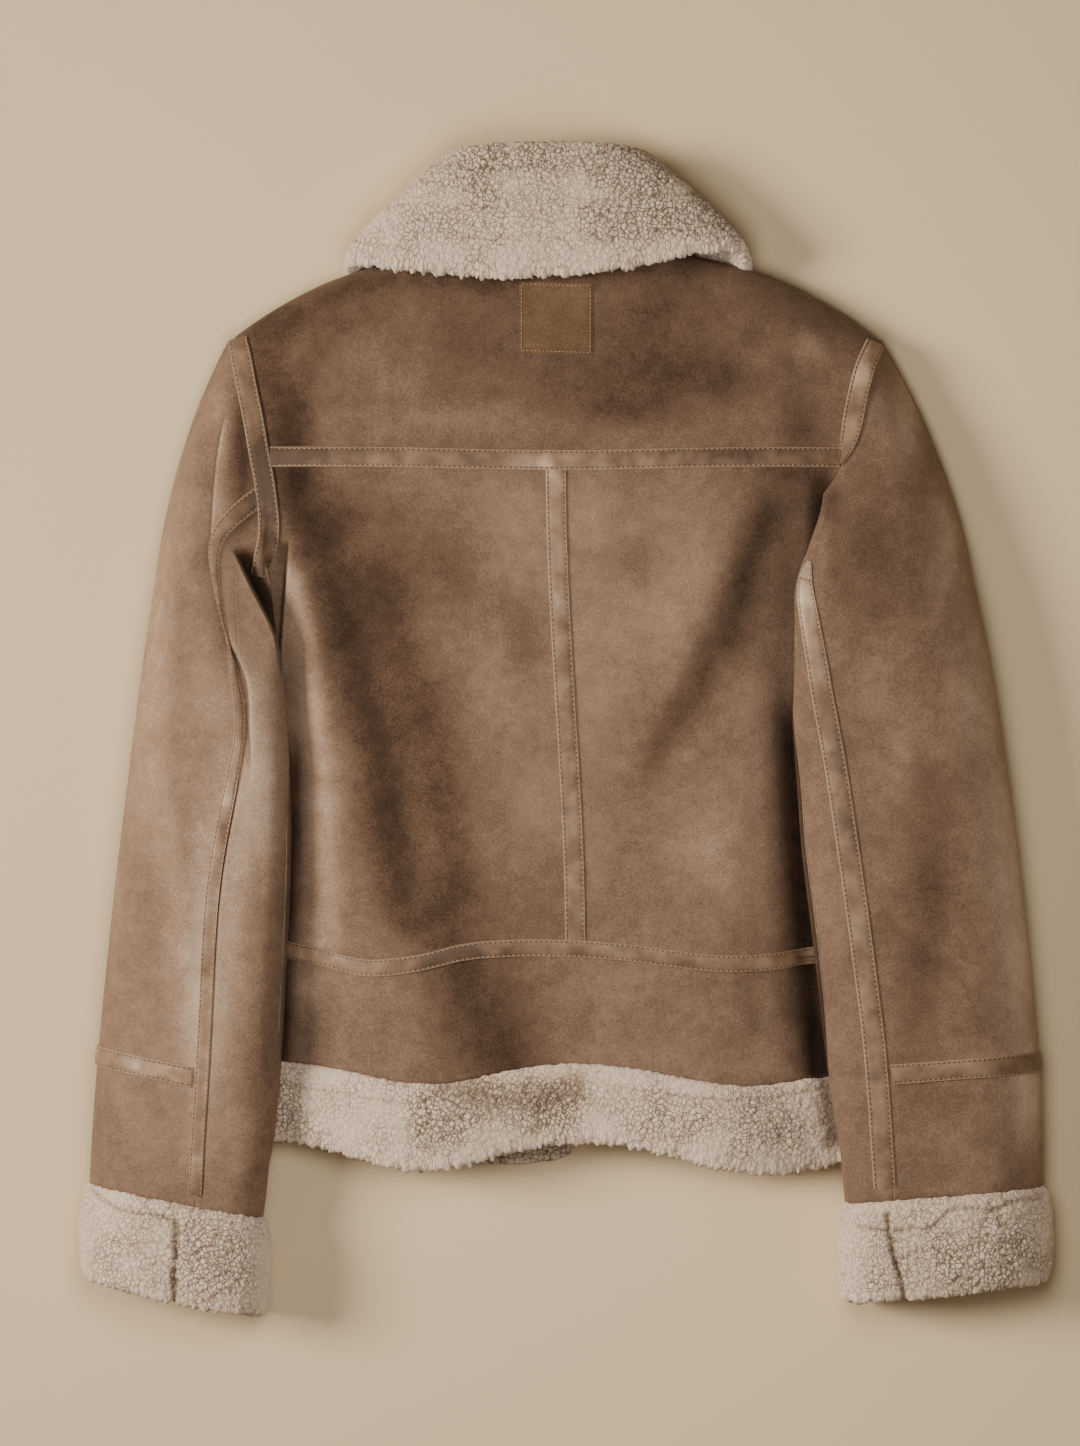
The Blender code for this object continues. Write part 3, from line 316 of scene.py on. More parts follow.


# Where the suede is lighter or darker, for each group of pieces ("" is all of them): the nap's own
# brushed tone, and painted shade and painted light where folds, hollows, the sleeves and the collar
# shade the cloth or its slopes face the light; the middle (x, y), its reach (x, y), how much
NAP_WITH_PAINTED_LIGHT_AND_SHADE = {
    "back": [
        ((-20, 244), (170, 44), -0.38), ((-60, 202), (70, 12), 0.35), ((56, 232), (46, 30), -0.4),
        ((100, 232), (30, 16), -0.3), ((-176, 268), (44, 18), -0.6), ((64, 274), (46, 16), -0.3),
        ((-138, 250), (24, 16), 0.3), ((156, 248), (12, 12), 0.6), ((150, 196), (14, 20), -0.6),
        ((138, 168), (22, 10), -0.5), ((-110, 226), (22, 14), 0.3), ((22, 242), (18, 12), 0.3),
        ((116, 242), (14, 10), 0.35), ((-178, 192), (16, 40), -0.95), ((80, 96), (32, 48), 0.6),
        ((16, 140), (20, 32), 0.45), ((20, 34), (30, 60), 0.35), ((-40, 10), (34, 90), 0.1),
        ((104, -82), (34, 46), 0.6), ((126, -16), (13, 44), 0.6), ((72, 38), (16, 26), 0.4),
        ((-70, 90), (20, 30), -0.3), ((-14, -40), (24, 40), 0.1), ((-190, 112), (7, 14), 0.5),
        ((-174, 156), (14, 22), -0.55), ((-146, 144), (34, 26), -0.5), ((-88, 112), (24, 24), -0.25),
        ((30, 206), (44, 9), -0.4), ((-30, 140), (26, 26), 0.3), ((44, 108), (16, 16), -0.35),
        ((-30, 60), (12, 22), -0.3), ((-48, 34), (13, 26), 0.4), ((-20, -45), (16, 24), 0.3),
        ((70, -12), (16, 16), 0.45), ((164, 146), (8, 20), -1.3), ((142, 84), (8, 34), -0.35),
        ((-168, -168), (11, 14), 0.8), ((92, -184), (44, 28), 0.25), ((-46, -196), (30, 26), -0.1),
        ((40, -190), (60, 18), -0.1), ((164, -215), (7, 24), -0.7), ((126, -214), (20, 14), 0.4),
        ((156, -166), (10, 12), 0.3),
    ],
    "": [
        ((-196, 232), (14, 40), -0.45),
    ],
    "sleeve_left": [
        ((-262, 60), (40, 150), 0.6), ((-266, -150), (40, 160), 0.4), ((-205, -10), (18, 60), 0.95),
        ((-216, -96), (20, 60), 0.7), ((-232, -190), (20, 80), 0.6), ((-250, 60), (10, 90), -0.5),
        ((-200, 90), (8, 14), -0.3), ((-268, -120), (12, 50), -0.4), ((-236, -170), (10, 90), 0.45),
        ((-210, 182), (7, 40), -0.9), ((-227, 184), (7, 26), 0.5), ((-282, -100), (10, 60), -0.3),
        ((-193, -60), (8, 70), 0.45), ((-226, 120), (8, 50), 0.3),
    ],
    "sleeve_right": [
        ((222, 204), (12, 36), 1.0), ((246, 120), (16, 50), 0.75), ((266, 40), (18, 60), 0.85),
        ((284, -60), (18, 70), 0.9), ((294, -150), (16, 60), 1.0), ((300, -240), (14, 40), 1.1),
        ((170, 146), (8, 14), -0.6), ((202, 110), (20, 60), -0.4), ((156, 96), (14, 40), 0.1),
        ((232, 160), (10, 40), -0.15), ((234, -100), (14, 60), -0.5), ((224, -170), (12, 40), -0.35),
        ((214, -24), (14, 24), 0.25), ((206, -260), (8, 50), 0.3), ((276, -214), (20, 10), 0.3),
    ],
}
# The same along lines, painted shade down the hollows, beside the sleeves and under the collar's edge, and
# painted light along two ridges: whose, points (x, y), half width, how much
PAINTED_LIGHT_AND_SHADE_STROKES = [
    ("back", ((-168, 150), (-160, 122), (-149, 84), (-138, 48), (-128, 10), (-122, -30), (-115, -66),
              (-108, -100), (-98, -138)), 18, -0.90),
    ("back", ((-90, -104), (-70, -140), (-56, -176), (-40, -216), (-30, -250)), 24, -0.60),
    ("back", ((-177, 0), (-178, -60), (-182, -120), (-185, -180), (-187, -250)), 5, -1.3),
    ("back", ((-128, 124), (-118, 84), (-106, 52), (-93, 10), (-85, -26), (-79, -60),
              (-73, -92), (-68, -122)), 19, -0.72),
    ("back", ((-178, 114), (-176, 84), (-171, 44), (-166, 0), (-158, -40)), 10, 0.85),
    ("back", ((-162, -30), (-160, -70), (-160, -110), (-160, -150)), 13, 0.95),
    ("back", ((140, 160), (130, 140), (123, 118), (114, 92), (107, 65), (94, 44), (78, 18), (60, -14),
              (46, -34)), 12, -0.75),
    ("back", ((143, 30), (148, -60), (155, -140), (163, -215), (169, -250)), 9, -1.45),
    ("back", ((-176, 276), (-130, 294), (-60, 291), (10, 293), (90, 300), (112, 300)), 9, -0.55),
]


def paint_nap_light_and_shade(piece, group, faces_up):
    """Stores the nap's tone with painted shade and painted light at each point, from -1, dark, to 1, light,
    on the side that faces up.
    """
    points = places(piece.data) / MM
    lies = np.zeros(len(points))
    for whose, rows in NAP_WITH_PAINTED_LIGHT_AND_SHADE.items():
        for middle, reach, much in rows if group.startswith(whose) else ():
            away = (points[:, :2] - middle) / reach
            lies += much * np.exp(-(away**2).sum(axis=1))
    for whose, line, half, much in PAINTED_LIGHT_AND_SHADE_STROKES:
        if not group.startswith(whose):
            continue
        which, away, along, _, _ = near_line(points * MM, line, 2.6 * half)
        lies[which] += much * np.exp(-((away / half) ** 2)) * ease(np.minimum(along, 1 - along) / 0.15 + 0.2)
    # painted light along a fold's high edge, painted shade in the hollow on its low side, and a painted shadow
    # line along the fold itself
    for whose, line, rise, sink, _, reach, _ in FOLDS:
        if not group.startswith(whose):
            continue
        which, away, along, side, _ = near_line(points * MM, line, 3 * reach)
        fade = ease(np.minimum(along, 1 - along) / 0.1)
        lightened = np.exp(-(((away - 1.2) / 1.3) ** 2)) * (side > 0) * min(rise / 3, 1)
        kept = np.exp(-((away / reach) ** 2)) * (side < 0) * min(sink / 7, 1.6)
        lies[which] += fade * (0.35 * lightened - kept - 0.9 * np.exp(-((away / 0.8) ** 2)))
    lies *= ease((faces_up + 0.25) / 0.35)
    # the nap attribute carries the painted shade and painted light as well as the nap's own tone
    store(piece.data, "nap", lies)


def placed(name, data):
    made = bpy.data.objects.new(name, data)
    bpy.context.collection.objects.link(made)
    return made


def select_only(piece):
    bpy.ops.object.select_all(action="DESELECT")
    piece.select_set(True)
    bpy.context.view_layer.objects.active = piece


def places(mesh, kind="co"):
    found = np.empty(len(mesh.vertices) * 3)
    mesh.vertices.foreach_get(kind, found)
    return found.reshape(-1, 3)


def store(mesh, name, values, kind="FLOAT"):
    """Keeps a value, or a vector, for each point of a mesh, for its material."""
    made = mesh.attributes.new(name, kind, "POINT")
    made.data.foreach_set("value" if kind == "FLOAT" else "vector", values.astype(np.float32).ravel())


def worked(piece, kind, **settings):
    """Adds a modifier to the selected piece and applies it."""
    made = piece.modifiers.new(kind.lower(), kind)
    for name, value in settings.items():
        setattr(made, name, value)
    bpy.ops.object.modifier_apply(modifier=made.name)


def skin_copy(name, solid, *materials):
    """A copy of a solid's skin, its corners joined and its triangles paired into quads."""
    piece = placed(name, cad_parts[solid].data.copy())
    piece.data.materials.clear()
    for material in materials:
        piece.data.materials.append(material)
    select_only(piece)
    bpy.ops.object.mode_set(mode="EDIT")
    bpy.ops.mesh.select_mode(type="EDGE")
    bpy.ops.mesh.select_all(action="SELECT")
    bpy.ops.mesh.remove_doubles(threshold=1e-6)
    bpy.ops.mesh.tris_convert_to_quads(
        face_threshold=math.pi, shape_threshold=math.pi, topology_influence=1.0)
    bpy.ops.object.mode_set(mode="OBJECT")
    return piece


def smooth_patches(mesh, degrees):
    """The faces of a bmesh in patches, parted where it bends by more than an angle."""
    patches, seen = [], set()
    for first in mesh.faces:
        if first.index in seen:
            continue
        seen.add(first.index)
        patch, todo = [], [first]
        while todo:
            face = todo.pop()
            patch.append(face)
            for edge in face.edges:
                if edge.calc_face_angle(0) > math.radians(degrees):
                    continue
                for beside in edge.link_faces:
                    if beside.index not in seen:
                        seen.add(beside.index)
                        todo.append(beside)
        patches.append(patch)
    return patches


def sides(mesh):
    """How far up the suede side looks at each point, from -1 to 1, and which points are the lining's."""
    looks, total = np.zeros(len(mesh.vertices)), np.full(len(mesh.vertices), 1e-12)
    lining = np.zeros(len(mesh.vertices), bool)
    for face in mesh.polygons:
        if face.material_index < 2:
            corners = list(face.vertices)
            looks[corners] += face.area * face.normal.z * (1 if face.material_index == 0 else -1)
            total[corners] += face.area
            lining[corners] = lining[corners] | (face.material_index == 1)
    return looks / total, lining


SHARP = 52  # degrees: a solid's edge that bends by more is the cut edge of the cloth
CUT_EDGE = 2e-3  # a smaller patch, in square metres, is a cut edge and not a face of the cloth
FULLER = 0.22 * MM  # the seams are pulled closed, so each piece is fuller all round
NEAR_FOLD, OFF_TABLE = 5, 22 * MM  # the skin is finer this near to a fold, in mm, and this high up


def cloth(name, solid, detail, outward):
    """The skin of a solid as soft cloth: in quads, smoothed, its cut edges kept, then settled.
    outward gives the direction of the suede side, so that the fleece side and the cut edges get theirs."""
    piece = skin_copy(name, solid, SUEDE, FLEECE, SUEDE)
    bpy.ops.object.mode_set(mode="EDIT")
    bpy.ops.mesh.select_all(action="DESELECT")
    bpy.ops.mesh.edges_select_sharp(sharpness=math.radians(SHARP))
    bpy.ops.transform.edge_crease(value=1.0)
    bpy.ops.object.mode_set(mode="OBJECT")
    wall = bmesh.new()
    wall.from_mesh(piece.data)
    for patch in smooth_patches(wall, SHARP):
        area = sum(face.calc_area() for face in patch)
        facing = sum(face.normal.dot(Vector(outward(face.calc_center_median()))) * face.calc_area()
                     for face in patch)
        for face in patch:
            face.material_index = 2 if area < CUT_EDGE else 0 if facing > 0 else 1
    wall.to_mesh(piece.data)
    wall.free()
    worked(piece, "SUBSURF", levels=detail, render_levels=detail)
    finer = bmesh.new()
    finer.from_mesh(piece.data)
    points = places(piece.data)
    close = np.zeros(len(points), bool)
    for whose, line, *_ in FOLDS:
        if solid.startswith(whose):
            which, away, *_ = near_line(points, line, NEAR_FOLD)
            close[which] |= (away < NEAR_FOLD) & (points[which, 2] > OFF_TABLE)
    edges = [e for e in finer.edges if close[e.verts[0].index] and close[e.verts[1].index]]
    if edges:
        bmesh.ops.subdivide_edges(finer, edges=edges, cuts=2, use_grid_fill=True)
        finer.to_mesh(piece.data)
    finer.free()
    points = places(piece.data) + FULLER * places(piece.data, "normal")
    points[:, 2] = np.maximum(points[:, 2], 0)
    faces_up, lining = sides(piece.data)
    points += settle(points, solid, faces_up, lining)
    piece.data.vertices.foreach_set("co", points.ravel())
    piece.data.update()
    paint_nap_light_and_shade(piece, solid, faces_up)
    bpy.ops.object.shade_smooth_by_angle(angle=math.radians(55))
    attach(piece, "root")
    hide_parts(solid)
    return piece


def cut(piece, flat, rests_on):
    """Does nothing with a piece of cloth, its width and length as cut, or what it rests on."""


def up(centre):
    return (0, 0, 1)


yoke = cloth("yoke", "back_yoke", 3, up)
left_back = cloth("left_back_panel", "back_panel_left", 3, up)
right_back = cloth("right_back_panel", "back_panel_right", 3, up)
band = cloth("hem_band", "back_hem_band", 3, up)


# ---------------------------------------------------------------- the fronts
# Two fronts of the same cloth, pressed flat by the jacket's weight, their edges meeting in
# the middle underneath. Only a corner of the left one shows, below the back.
def down(centre):
    return (0, 0, -1)


left_front = cloth("left_front_panel", "front_left", 2, down)
right_front = cloth("right_front_panel", "front_right", 2, down)


# ---------------------------------------------------------------- the sleeves
# Each sleeve is a tube of an upper and an under piece and, below a cross seam, a forearm
# piece. The tubes are slack, roll over the armholes and lie beside the back.
def away_from_left_arm(centre):
    return (centre.x + 0.2425, 0, centre.z - 0.022)


def away_from_right_arm(centre):
    return (centre.x - 0.2275, 0, centre.z - 0.022)


SLEEVE_PARTS = ("upper", "under", "forearm")
sleeve_cloth = {}
for side, away in (("left", away_from_left_arm), ("right", away_from_right_arm)):
    for part in SLEEVE_PARTS:
        sleeve_cloth[side, part] = cloth(f"{side}_sleeve_{part}_cloth", f"sleeve_{side}_{part}", 3, away)


# ---------------------------------------------------------------- the tapes
# Strips of coated fabric with a leather-like face, folded in at both edges and topstitched
# flat over the seams. They are smoother and a little shinier than the suede.
STITCH = 3.3 * MM
STITCHED_AT = 0.79  # how far out on a tape its stitches are, from its middle to its edge


def coated_tape():
    """Coated fabric, pressed: smooth, paler and with a low sheen where rubbing has worn it, with painted sheen
    and painted shade in places, a little paler along the folded edges, and pricked by the needle along both,
    with painted shade in the stitch grooves and the needle holes."""
    tape, surface = plain("coated_fabric_tape", {
        "Specular IOR Level": 0.35, "Coat Weight": 0.06, "Coat Roughness": 0.38})
    place = node(tape, "ShaderNodeTexCoord").outputs["Object"]
    strip = node(tape, "ShaderNodeUVMap", uv_map="strip").outputs["UV"]
    apart = node(tape, "ShaderNodeSeparateXYZ", {"Vector": strip})

    def sum_of(operation, *values):
        return node(tape, "ShaderNodeMath", dict(enumerate(values)), operation=operation).outputs[0]

    def between(value, low, high, to_low=0.0, to_high=1.0, kind="LINEAR"):
        return node(tape, "ShaderNodeMapRange", {
            "Value": value, "From Min": low, "From Max": high, "To Min": to_low, "To Max": to_high},
            interpolation_type=kind).outputs["Result"]

    def tinted(share, below, above):
        return node(tape, "ShaderNodeMix", {
            "Factor": share, "A": below, "B": linear(above)}, data_type="RGBA").outputs["Result"]

    patches = node(tape, "ShaderNodeTexNoise", {  # 18 mm patches, where it has been handled
        "Vector": place, "Scale": 1 / 0.018, "Detail": 3.0, "Roughness": 0.6}).outputs["Fac"]
    # the wear, the painted sheen and the painted shade stored on the tape, over its handled patches
    handled_and_painted_light = sum_of("MULTIPLY_ADD", stored(tape, "rubbed"), 0.30, patches)
    base = shades(tape, handled_and_painted_light, ((0.25, "#4f3c2d"), (0.50, "#735b47"), (0.70, "#8b715a"), (1.0, "#b89d85")))
    # across: 0 in the middle, 1 at the folded edge, which is paler
    across = sum_of("ABSOLUTE", apart.outputs["Y"])
    edged = tinted(between(across, 0.82, 0.90, 0.0, 0.55, "SMOOTHSTEP"), base, "#9f846b")
    # painted shade along the groove that the stitches pull along each side
    off = sum_of("ABSOLUTE", sum_of("SUBTRACT", across, STITCHED_AT))
    groove_shaded = tinted(between(off, 0.13, 0.02, 0.0, 0.45, "SMOOTHSTEP"), edged, "#4a3728")
    # needle holes, one a stitch, painted dark as the shade in them
    wave = sum_of("COSINE", sum_of("MULTIPLY", apart.outputs["X"], math.tau / STITCH))
    hole = sum_of("MULTIPLY", between(wave, -0.45, -0.9), between(off, 0.10, 0.05))
    join(tape, tinted(hole, groove_shaded, "#3d2d21"), surface, "Base Color")
    join(tape, between(handled_and_painted_light, 0.40, 0.95, 0.66, 0.36), surface, "Roughness")
    grain = node(tape, "ShaderNodeTexNoise", {  # the coating's grain, 0.9 mm
        "Vector": place, "Scale": 1 / 0.0009, "Detail": 2.0}).outputs["Fac"]
    bump = node(tape, "ShaderNodeBump", {
        "Height": sum_of("SUBTRACT", grain, hole), "Strength": 0.4, "Distance": 0.0003})
    join(tape, bump.outputs["Normal"], surface, "Normal")
    return tape


TAPE = coated_tape()


def sewing_thread():
    """Spun polyester thread: matt, a shade paler than the tape."""
    thread, surface = plain("polyester_thread", {"Roughness": 0.6, "Sheen Weight": 0.2})
    plies = node(thread, "ShaderNodeTexNoise", {
        "Vector": node(thread, "ShaderNodeTexCoord").outputs["Object"], "Scale": 1 / 0.006, "Detail": 2.0})
    colour = shades(thread, plies.outputs["Fac"], ((0.35, "#846a54"), (0.65, "#a0866d")))
    join(thread, colour, surface, "Base Color")
    return thread


THREAD = sewing_thread()


def skin_of(*pieces):
    """The suede side of some pieces, as a search tree to lay things on."""
    points, faces = [], []
    for piece in pieces:
        start = len(points)
        mesh = piece.data
        points.extend(v.co.copy() for v in mesh.vertices)
        faces.extend([start + k for k in f.vertices] for f in mesh.polygons if f.material_index == 0)
    return BVHTree.FromPolygons(points, faces)


def edges_of_strip(solid, skin):
    """The two long edges of a tape's solid, as matched rows of points, from its outer face."""
    strip = bmesh.new()
    strip.from_mesh(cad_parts[solid].data)
    bmesh.ops.remove_doubles(strip, verts=strip.verts, dist=1e-6)
    strip.faces.ensure_lookup_table()
    strip.edges.index_update()
    groups = smooth_patches(strip, 45)
    groups.sort(key=lambda group: -sum(face.calc_area() for face in group))

    def height(group):
        return sum(skin.find_nearest(face.calc_center_median())[3] for face in group) / len(group)

    outer = set(max(groups[:2], key=height))
    border = {edge for face in outer for edge in face.edges if sum(f in outer for f in edge.link_faces) == 1}
    start = min(border, key=lambda edge: edge.index)
    loop, edge = [start.verts[0]], start
    while True:
        corner = edge.other_vert(loop[-1])
        if corner is loop[0]:
            break
        loop.append(corner)
        edge = next(e for e in corner.link_edges if e in border and e is not edge)
    around = np.array([v.co for v in loop])
    before = around - np.roll(around, 1, axis=0)
    after = np.roll(around, -1, axis=0) - around
    before /= np.linalg.norm(before, axis=1, keepdims=True)
    after /= np.linalg.norm(after, axis=1, keepdims=True)
    corners = np.sort(np.argsort((before * after).sum(axis=1))[:4])
    around = np.roll(around, -corners[0], axis=0)
    corners = np.append(corners - corners[0], len(around))
    sides = [around[a:b + 1] if b < len(around) else np.vstack([around[a:], around[:1]])
             for a, b in zip(corners[:-1], corners[1:])]
    long = [np.linalg.norm(np.diff(s, axis=0), axis=1).sum() for s in sides]
    one, two = (sides[0], sides[2]) if long[0] + long[2] > long[1] + long[3] else (sides[1], sides[3])
    strip.free()
    return one, two[::-1]


def evenly(row, count, grow=0.0):
    """A row of points drawn again as a smooth line of count points, longer by grow at both ends."""
    lengths = np.append(0, np.cumsum(np.linalg.norm(np.diff(row, axis=0), axis=1)))
    at = np.linspace(-grow, lengths[-1] + grow, count)
    slope = np.gradient(row, lengths, axis=0)
    k = np.clip(np.searchsorted(lengths, at) - 1, 0, len(row) - 2)
    span = (lengths[k + 1] - lengths[k])[:, None]
    t = ((at - lengths[k])[:, None]) / span
    inside = np.clip(t, 0, 1)
    line = ((2 * inside**3 - 3 * inside**2 + 1) * row[k]
            + (inside**3 - 2 * inside**2 + inside) * span * slope[k]
            + (3 * inside**2 - 2 * inside**3) * row[k + 1]
            + (inside**3 - inside**2) * span * slope[k + 1])
    return line + (t - inside) * span * slope[np.where(t > 0.5, k + 1, k)[:, 0]]


# Where the tapes are worn paler and shinier by rubbing, with a painted sheen, and, where the amount is
# below zero, darkened as painted shade: the middle (x, y) and its reach in mm, and how much
RUBBED_AND_PAINTED_LIGHT = [
    ((192, 232), 22, 1.4), ((-212, 142), 16, 0.6), ((-214, -20), 40, 0.7), ((-228, -120), 50, 0.6),
    ((-236, -220), 50, 0.6), ((-270, -212), 36, 0.5), ((250, -214), 50, 0.3), ((-150, -150), 60, 0.4),
    ((140, -150), 40, 0.3), ((186, 196), 10, 0.8), ((148, 88), 20, 1.3), ((150, 60), 14, 0.5),
    ((-8, 172), 26, 0.6), ((-9, 120), 40, 0.5), ((112, 174), 50, -0.7), ((-166, 178), 30, -0.7),
    ((-197, 160), 34, -0.9), ((-198, 102), 9, -1.2), ((-224, 122), 16, 0.4), ((-74, -147), 36, -0.8),
]
# The tape across: how far out, from -1 to 1, and its height over the suede in mm.
TAPE_PROFILE = (
    (-1.0, -0.5), (-1.02, 0.35), (-0.98, 0.90), (-0.90, 1.05), (-STITCHED_AT, 0.72), (-0.64, 1.15),
    (-0.30, 1.35),
    (0.30, 1.35), (0.64, 1.15), (STITCHED_AT, 0.72), (0.90, 1.05), (0.98, 0.90), (1.02, 0.35), (1.0, -0.5),
)


def beside_line(line):
    """The two long edges of a tape, from rows of (x, y, width) in mm down its middle, seen from above."""
    rows = np.array(line, float) * MM
    way = np.gradient(rows[:, :2], axis=0)
    way /= np.linalg.norm(way, axis=1, keepdims=True)
    over = np.stack([-way[:, 1], way[:, 0]], axis=1) * rows[:, 2:] / 2
    level = np.zeros((len(rows), 1))
    return np.hstack([rows[:, :2] + over, level]), np.hstack([rows[:, :2] - over, level])


def from_above(skin, spot):
    """The skin's place and its outward way straight below a spot, bridging the seams."""
    x, y = spot[:2]
    hits = [skin.ray_cast(Vector((x + aside * MM, y, 0.1)), Vector((0, 0, -1))) for aside in (-1.2, 0, 1.2)]
    hit = max((hit for hit in hits if hit[0]), key=lambda hit: hit[0].z, default=None)
    return (Vector((x, y, hit[0].z)), hit[1]) if hit else (Vector((x, y, 0.02)), Vector((0, 0, 1)))


def evened(rows, times):
    """Rows of points or directions, each drawn towards its neighbours, but for the first and the last."""
    for _ in range(times):
        rows[1:-1] = (rows[:-2] + 2 * rows[1:-1] + rows[2:]) / 4
    return rows


def face_out(piece, degrees=None):
    """Turns a new mesh's faces outward and shades it smooth, but for edges sharper than an angle."""
    select_only(piece)
    bpy.ops.object.mode_set(mode="EDIT")
    bpy.ops.mesh.select_all(action="SELECT")
    bpy.ops.mesh.normals_make_consistent(inside=False)
    bpy.ops.object.mode_set(mode="OBJECT")
    if degrees:
        bpy.ops.object.shade_smooth_by_angle(angle=math.radians(degrees))
    else:
        bpy.ops.object.shade_smooth()


def sew_tape(name, solid, skin, lift=0.0, grow=0.0, pucker=0.12, line=None):
    """Lays a tape over its seam and sews it down along both edges, as two new meshes."""
    one, two = beside_line(line) if line else edges_of_strip(solid, skin)
    long = max(np.linalg.norm(np.diff(side, axis=0), axis=1).sum() for side in (one, two)) + 2 * grow
    count = int(long / (STITCH * 0.4)) + 1
    one, two = evenly(one, count, grow), evenly(two, count, grow)

    def lie(share):
        rows = one + (two - one) * ((share + 1) / 2)
        hits = [from_above(skin, p) if line else skin.find_nearest(Vector(p)) for p in rows]
        return np.array([h[0] for h in hits]), np.array([h[1] for h in hits])

    run = np.append(0, np.cumsum(np.linalg.norm(np.diff(lie(0.0)[0], axis=0), axis=1)))

    out = evened(sum(lie(share)[1] for share in (-0.8, -0.4, 0.0, 0.4, 0.8)), 6)
    out /= np.linalg.norm(out, axis=1, keepdims=True)
    # the suede's own unevenness is bridged, so the tape's base follows it only smoothly
    laid = {share: evened(lie(share)[0], 24 if line else 3) for share, _ in TAPE_PROFILE}
    gathers = np.array([noise.noise((u / 0.007, 3.1, len(solid))) for u in run])
    pulled = -np.cos(run / STITCH * math.tau) * 0.5
    rows = []
    for share, height in TAPE_PROFILE:
        near_stitch = math.exp(-((abs(share) - STITCHED_AT) / 0.22) ** 2)
        bumps = pucker * (pulled * near_stitch + 0.9 * gathers * (abs(share) < 0.9))
        if height <= 0.5:
            bumps = 0 * run
        over = (height + bumps) * MM + (lift if height > 0 else 0)
        rows.append(laid[share] + out * np.reshape(over, (-1, 1)))
    grid = np.stack(rows, axis=1)
    across = len(TAPE_PROFILE)
    mesh = bpy.data.meshes.new(name)
    faces = []
    for i in range(count - 1):
        for j in range(across):
            k = (j + 1) % across
            faces.append((i * across + j, (i + 1) * across + j, (i + 1) * across + k, i * across + k))
    faces.append(tuple(range(across)))
    faces.append(tuple((count - 1) * across + j for j in reversed(range(across))))
    mesh.from_pydata(grid.reshape(-1, 3).tolist(), [], faces)
    tape = placed(name, mesh)
    strip = mesh.uv_layers.new(name="strip")
    values = np.array([[(run[v // across], TAPE_PROFILE[v % across][0])] for v in
                       (loop.vertex_index for loop in mesh.loops)])
    strip.uv.foreach_set("vector", values.astype(np.float32).ravel())
    mesh.materials.append(TAPE)
    rubbed = np.zeros(count * across)
    for middle, reach, much in RUBBED_AND_PAINTED_LIGHT:
        away = np.linalg.norm(grid.reshape(-1, 3)[:, :2] / MM - middle, axis=1)
        rubbed += much * np.exp(-((away / reach) ** 2))
    store(mesh, "rubbed", rubbed)
    face_out(tape, 60)
    thread = placed(f"{name}_stitches", bpy.data.meshes.new(f"{name}_stitches"))
    widths = np.linalg.norm(two - one, axis=1)
    runs = [u for u in np.arange(STITCH, run[-1] - STITCH / 2, STITCH) if np.interp(u, run, widths) > 5 * MM]
    lines = []
    for share in (-STITCHED_AT, STITCHED_AT):
        path = laid[share] + out * (0.74 * MM + lift)
        lines.append(([np.array([np.interp(u, run, path[:, k]) for k in range(3)]) for u in runs],
                      [np.array([np.interp(u, run, out[:, k]) for k in range(3)]) for u in runs]))
    stitch_mesh(thread, lines, 2.5 * MM, 0.30 * MM)
    for piece in (tape, thread):
        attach(piece, "root")
    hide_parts(solid)
    return tape


def stitch_mesh(thread, lines, long, half):
    """Lockstitches along lines of places: each a short bead of thread that dips in at its two ends."""
    rings = ((-0.5, 0.25, -0.35), (-0.3, 0.85, 0.05), (0.0, 1.0, 0.25), (0.3, 0.85, 0.05), (0.5, 0.25, -0.35))
    turns = 5
    points, faces = [], []
    for spots, outs in lines:
        for k in range(1, len(spots) - 1):
            way = spots[k + 1] - spots[k - 1]
            way = way / np.linalg.norm(way)
            out = outs[k] / np.linalg.norm(outs[k])
            beside = np.cross(out, way)
            start = len(points)
            for along, size, rise in rings:
                centre = spots[k] + way * along * long + out * rise * half
                for turn in range(turns):
                    angle = math.tau * turn / turns
                    points.append(centre + (beside * math.cos(angle) + out * math.sin(angle)) * half * size)
            for ring in range(len(rings) - 1):
                for turn in range(turns):
                    a, b = start + ring * turns + turn, start + ring * turns + (turn + 1) % turns
                    faces.append((a, b, b + turns, a + turns))
            faces.append(tuple(start + turn for turn in reversed(range(turns))))
            faces.append(tuple(start + (len(rings) - 1) * turns + turn for turn in range(turns)))
    thread.data.from_pydata([tuple(p) for p in points], [], faces)
    thread.data.materials.append(THREAD)
    face_out(thread)


left_sleeve, right_sleeve = ([sleeve_cloth[side, part] for part in SLEEVE_PARTS] for side in ("left", "right"))
back_skin = skin_of(yoke, left_back, right_back, band)
left_skin, right_skin = skin_of(*left_sleeve), skin_of(*right_sleeve)
left_armhole_skin = skin_of(yoke, left_back, *left_sleeve)
right_armhole_skin = skin_of(yoke, right_back, *right_sleeve[:2])
sew_tape("back_seam_tape", "centre_tape", back_skin, grow=2.5 * MM)
sew_tape("yoke_seam_tape", "yoke_tape", back_skin, lift=0.35 * MM, grow=2.5 * MM, pucker=0.2)
sew_tape("waist_seam_tape", "waist_tape", back_skin, lift=0.35 * MM)
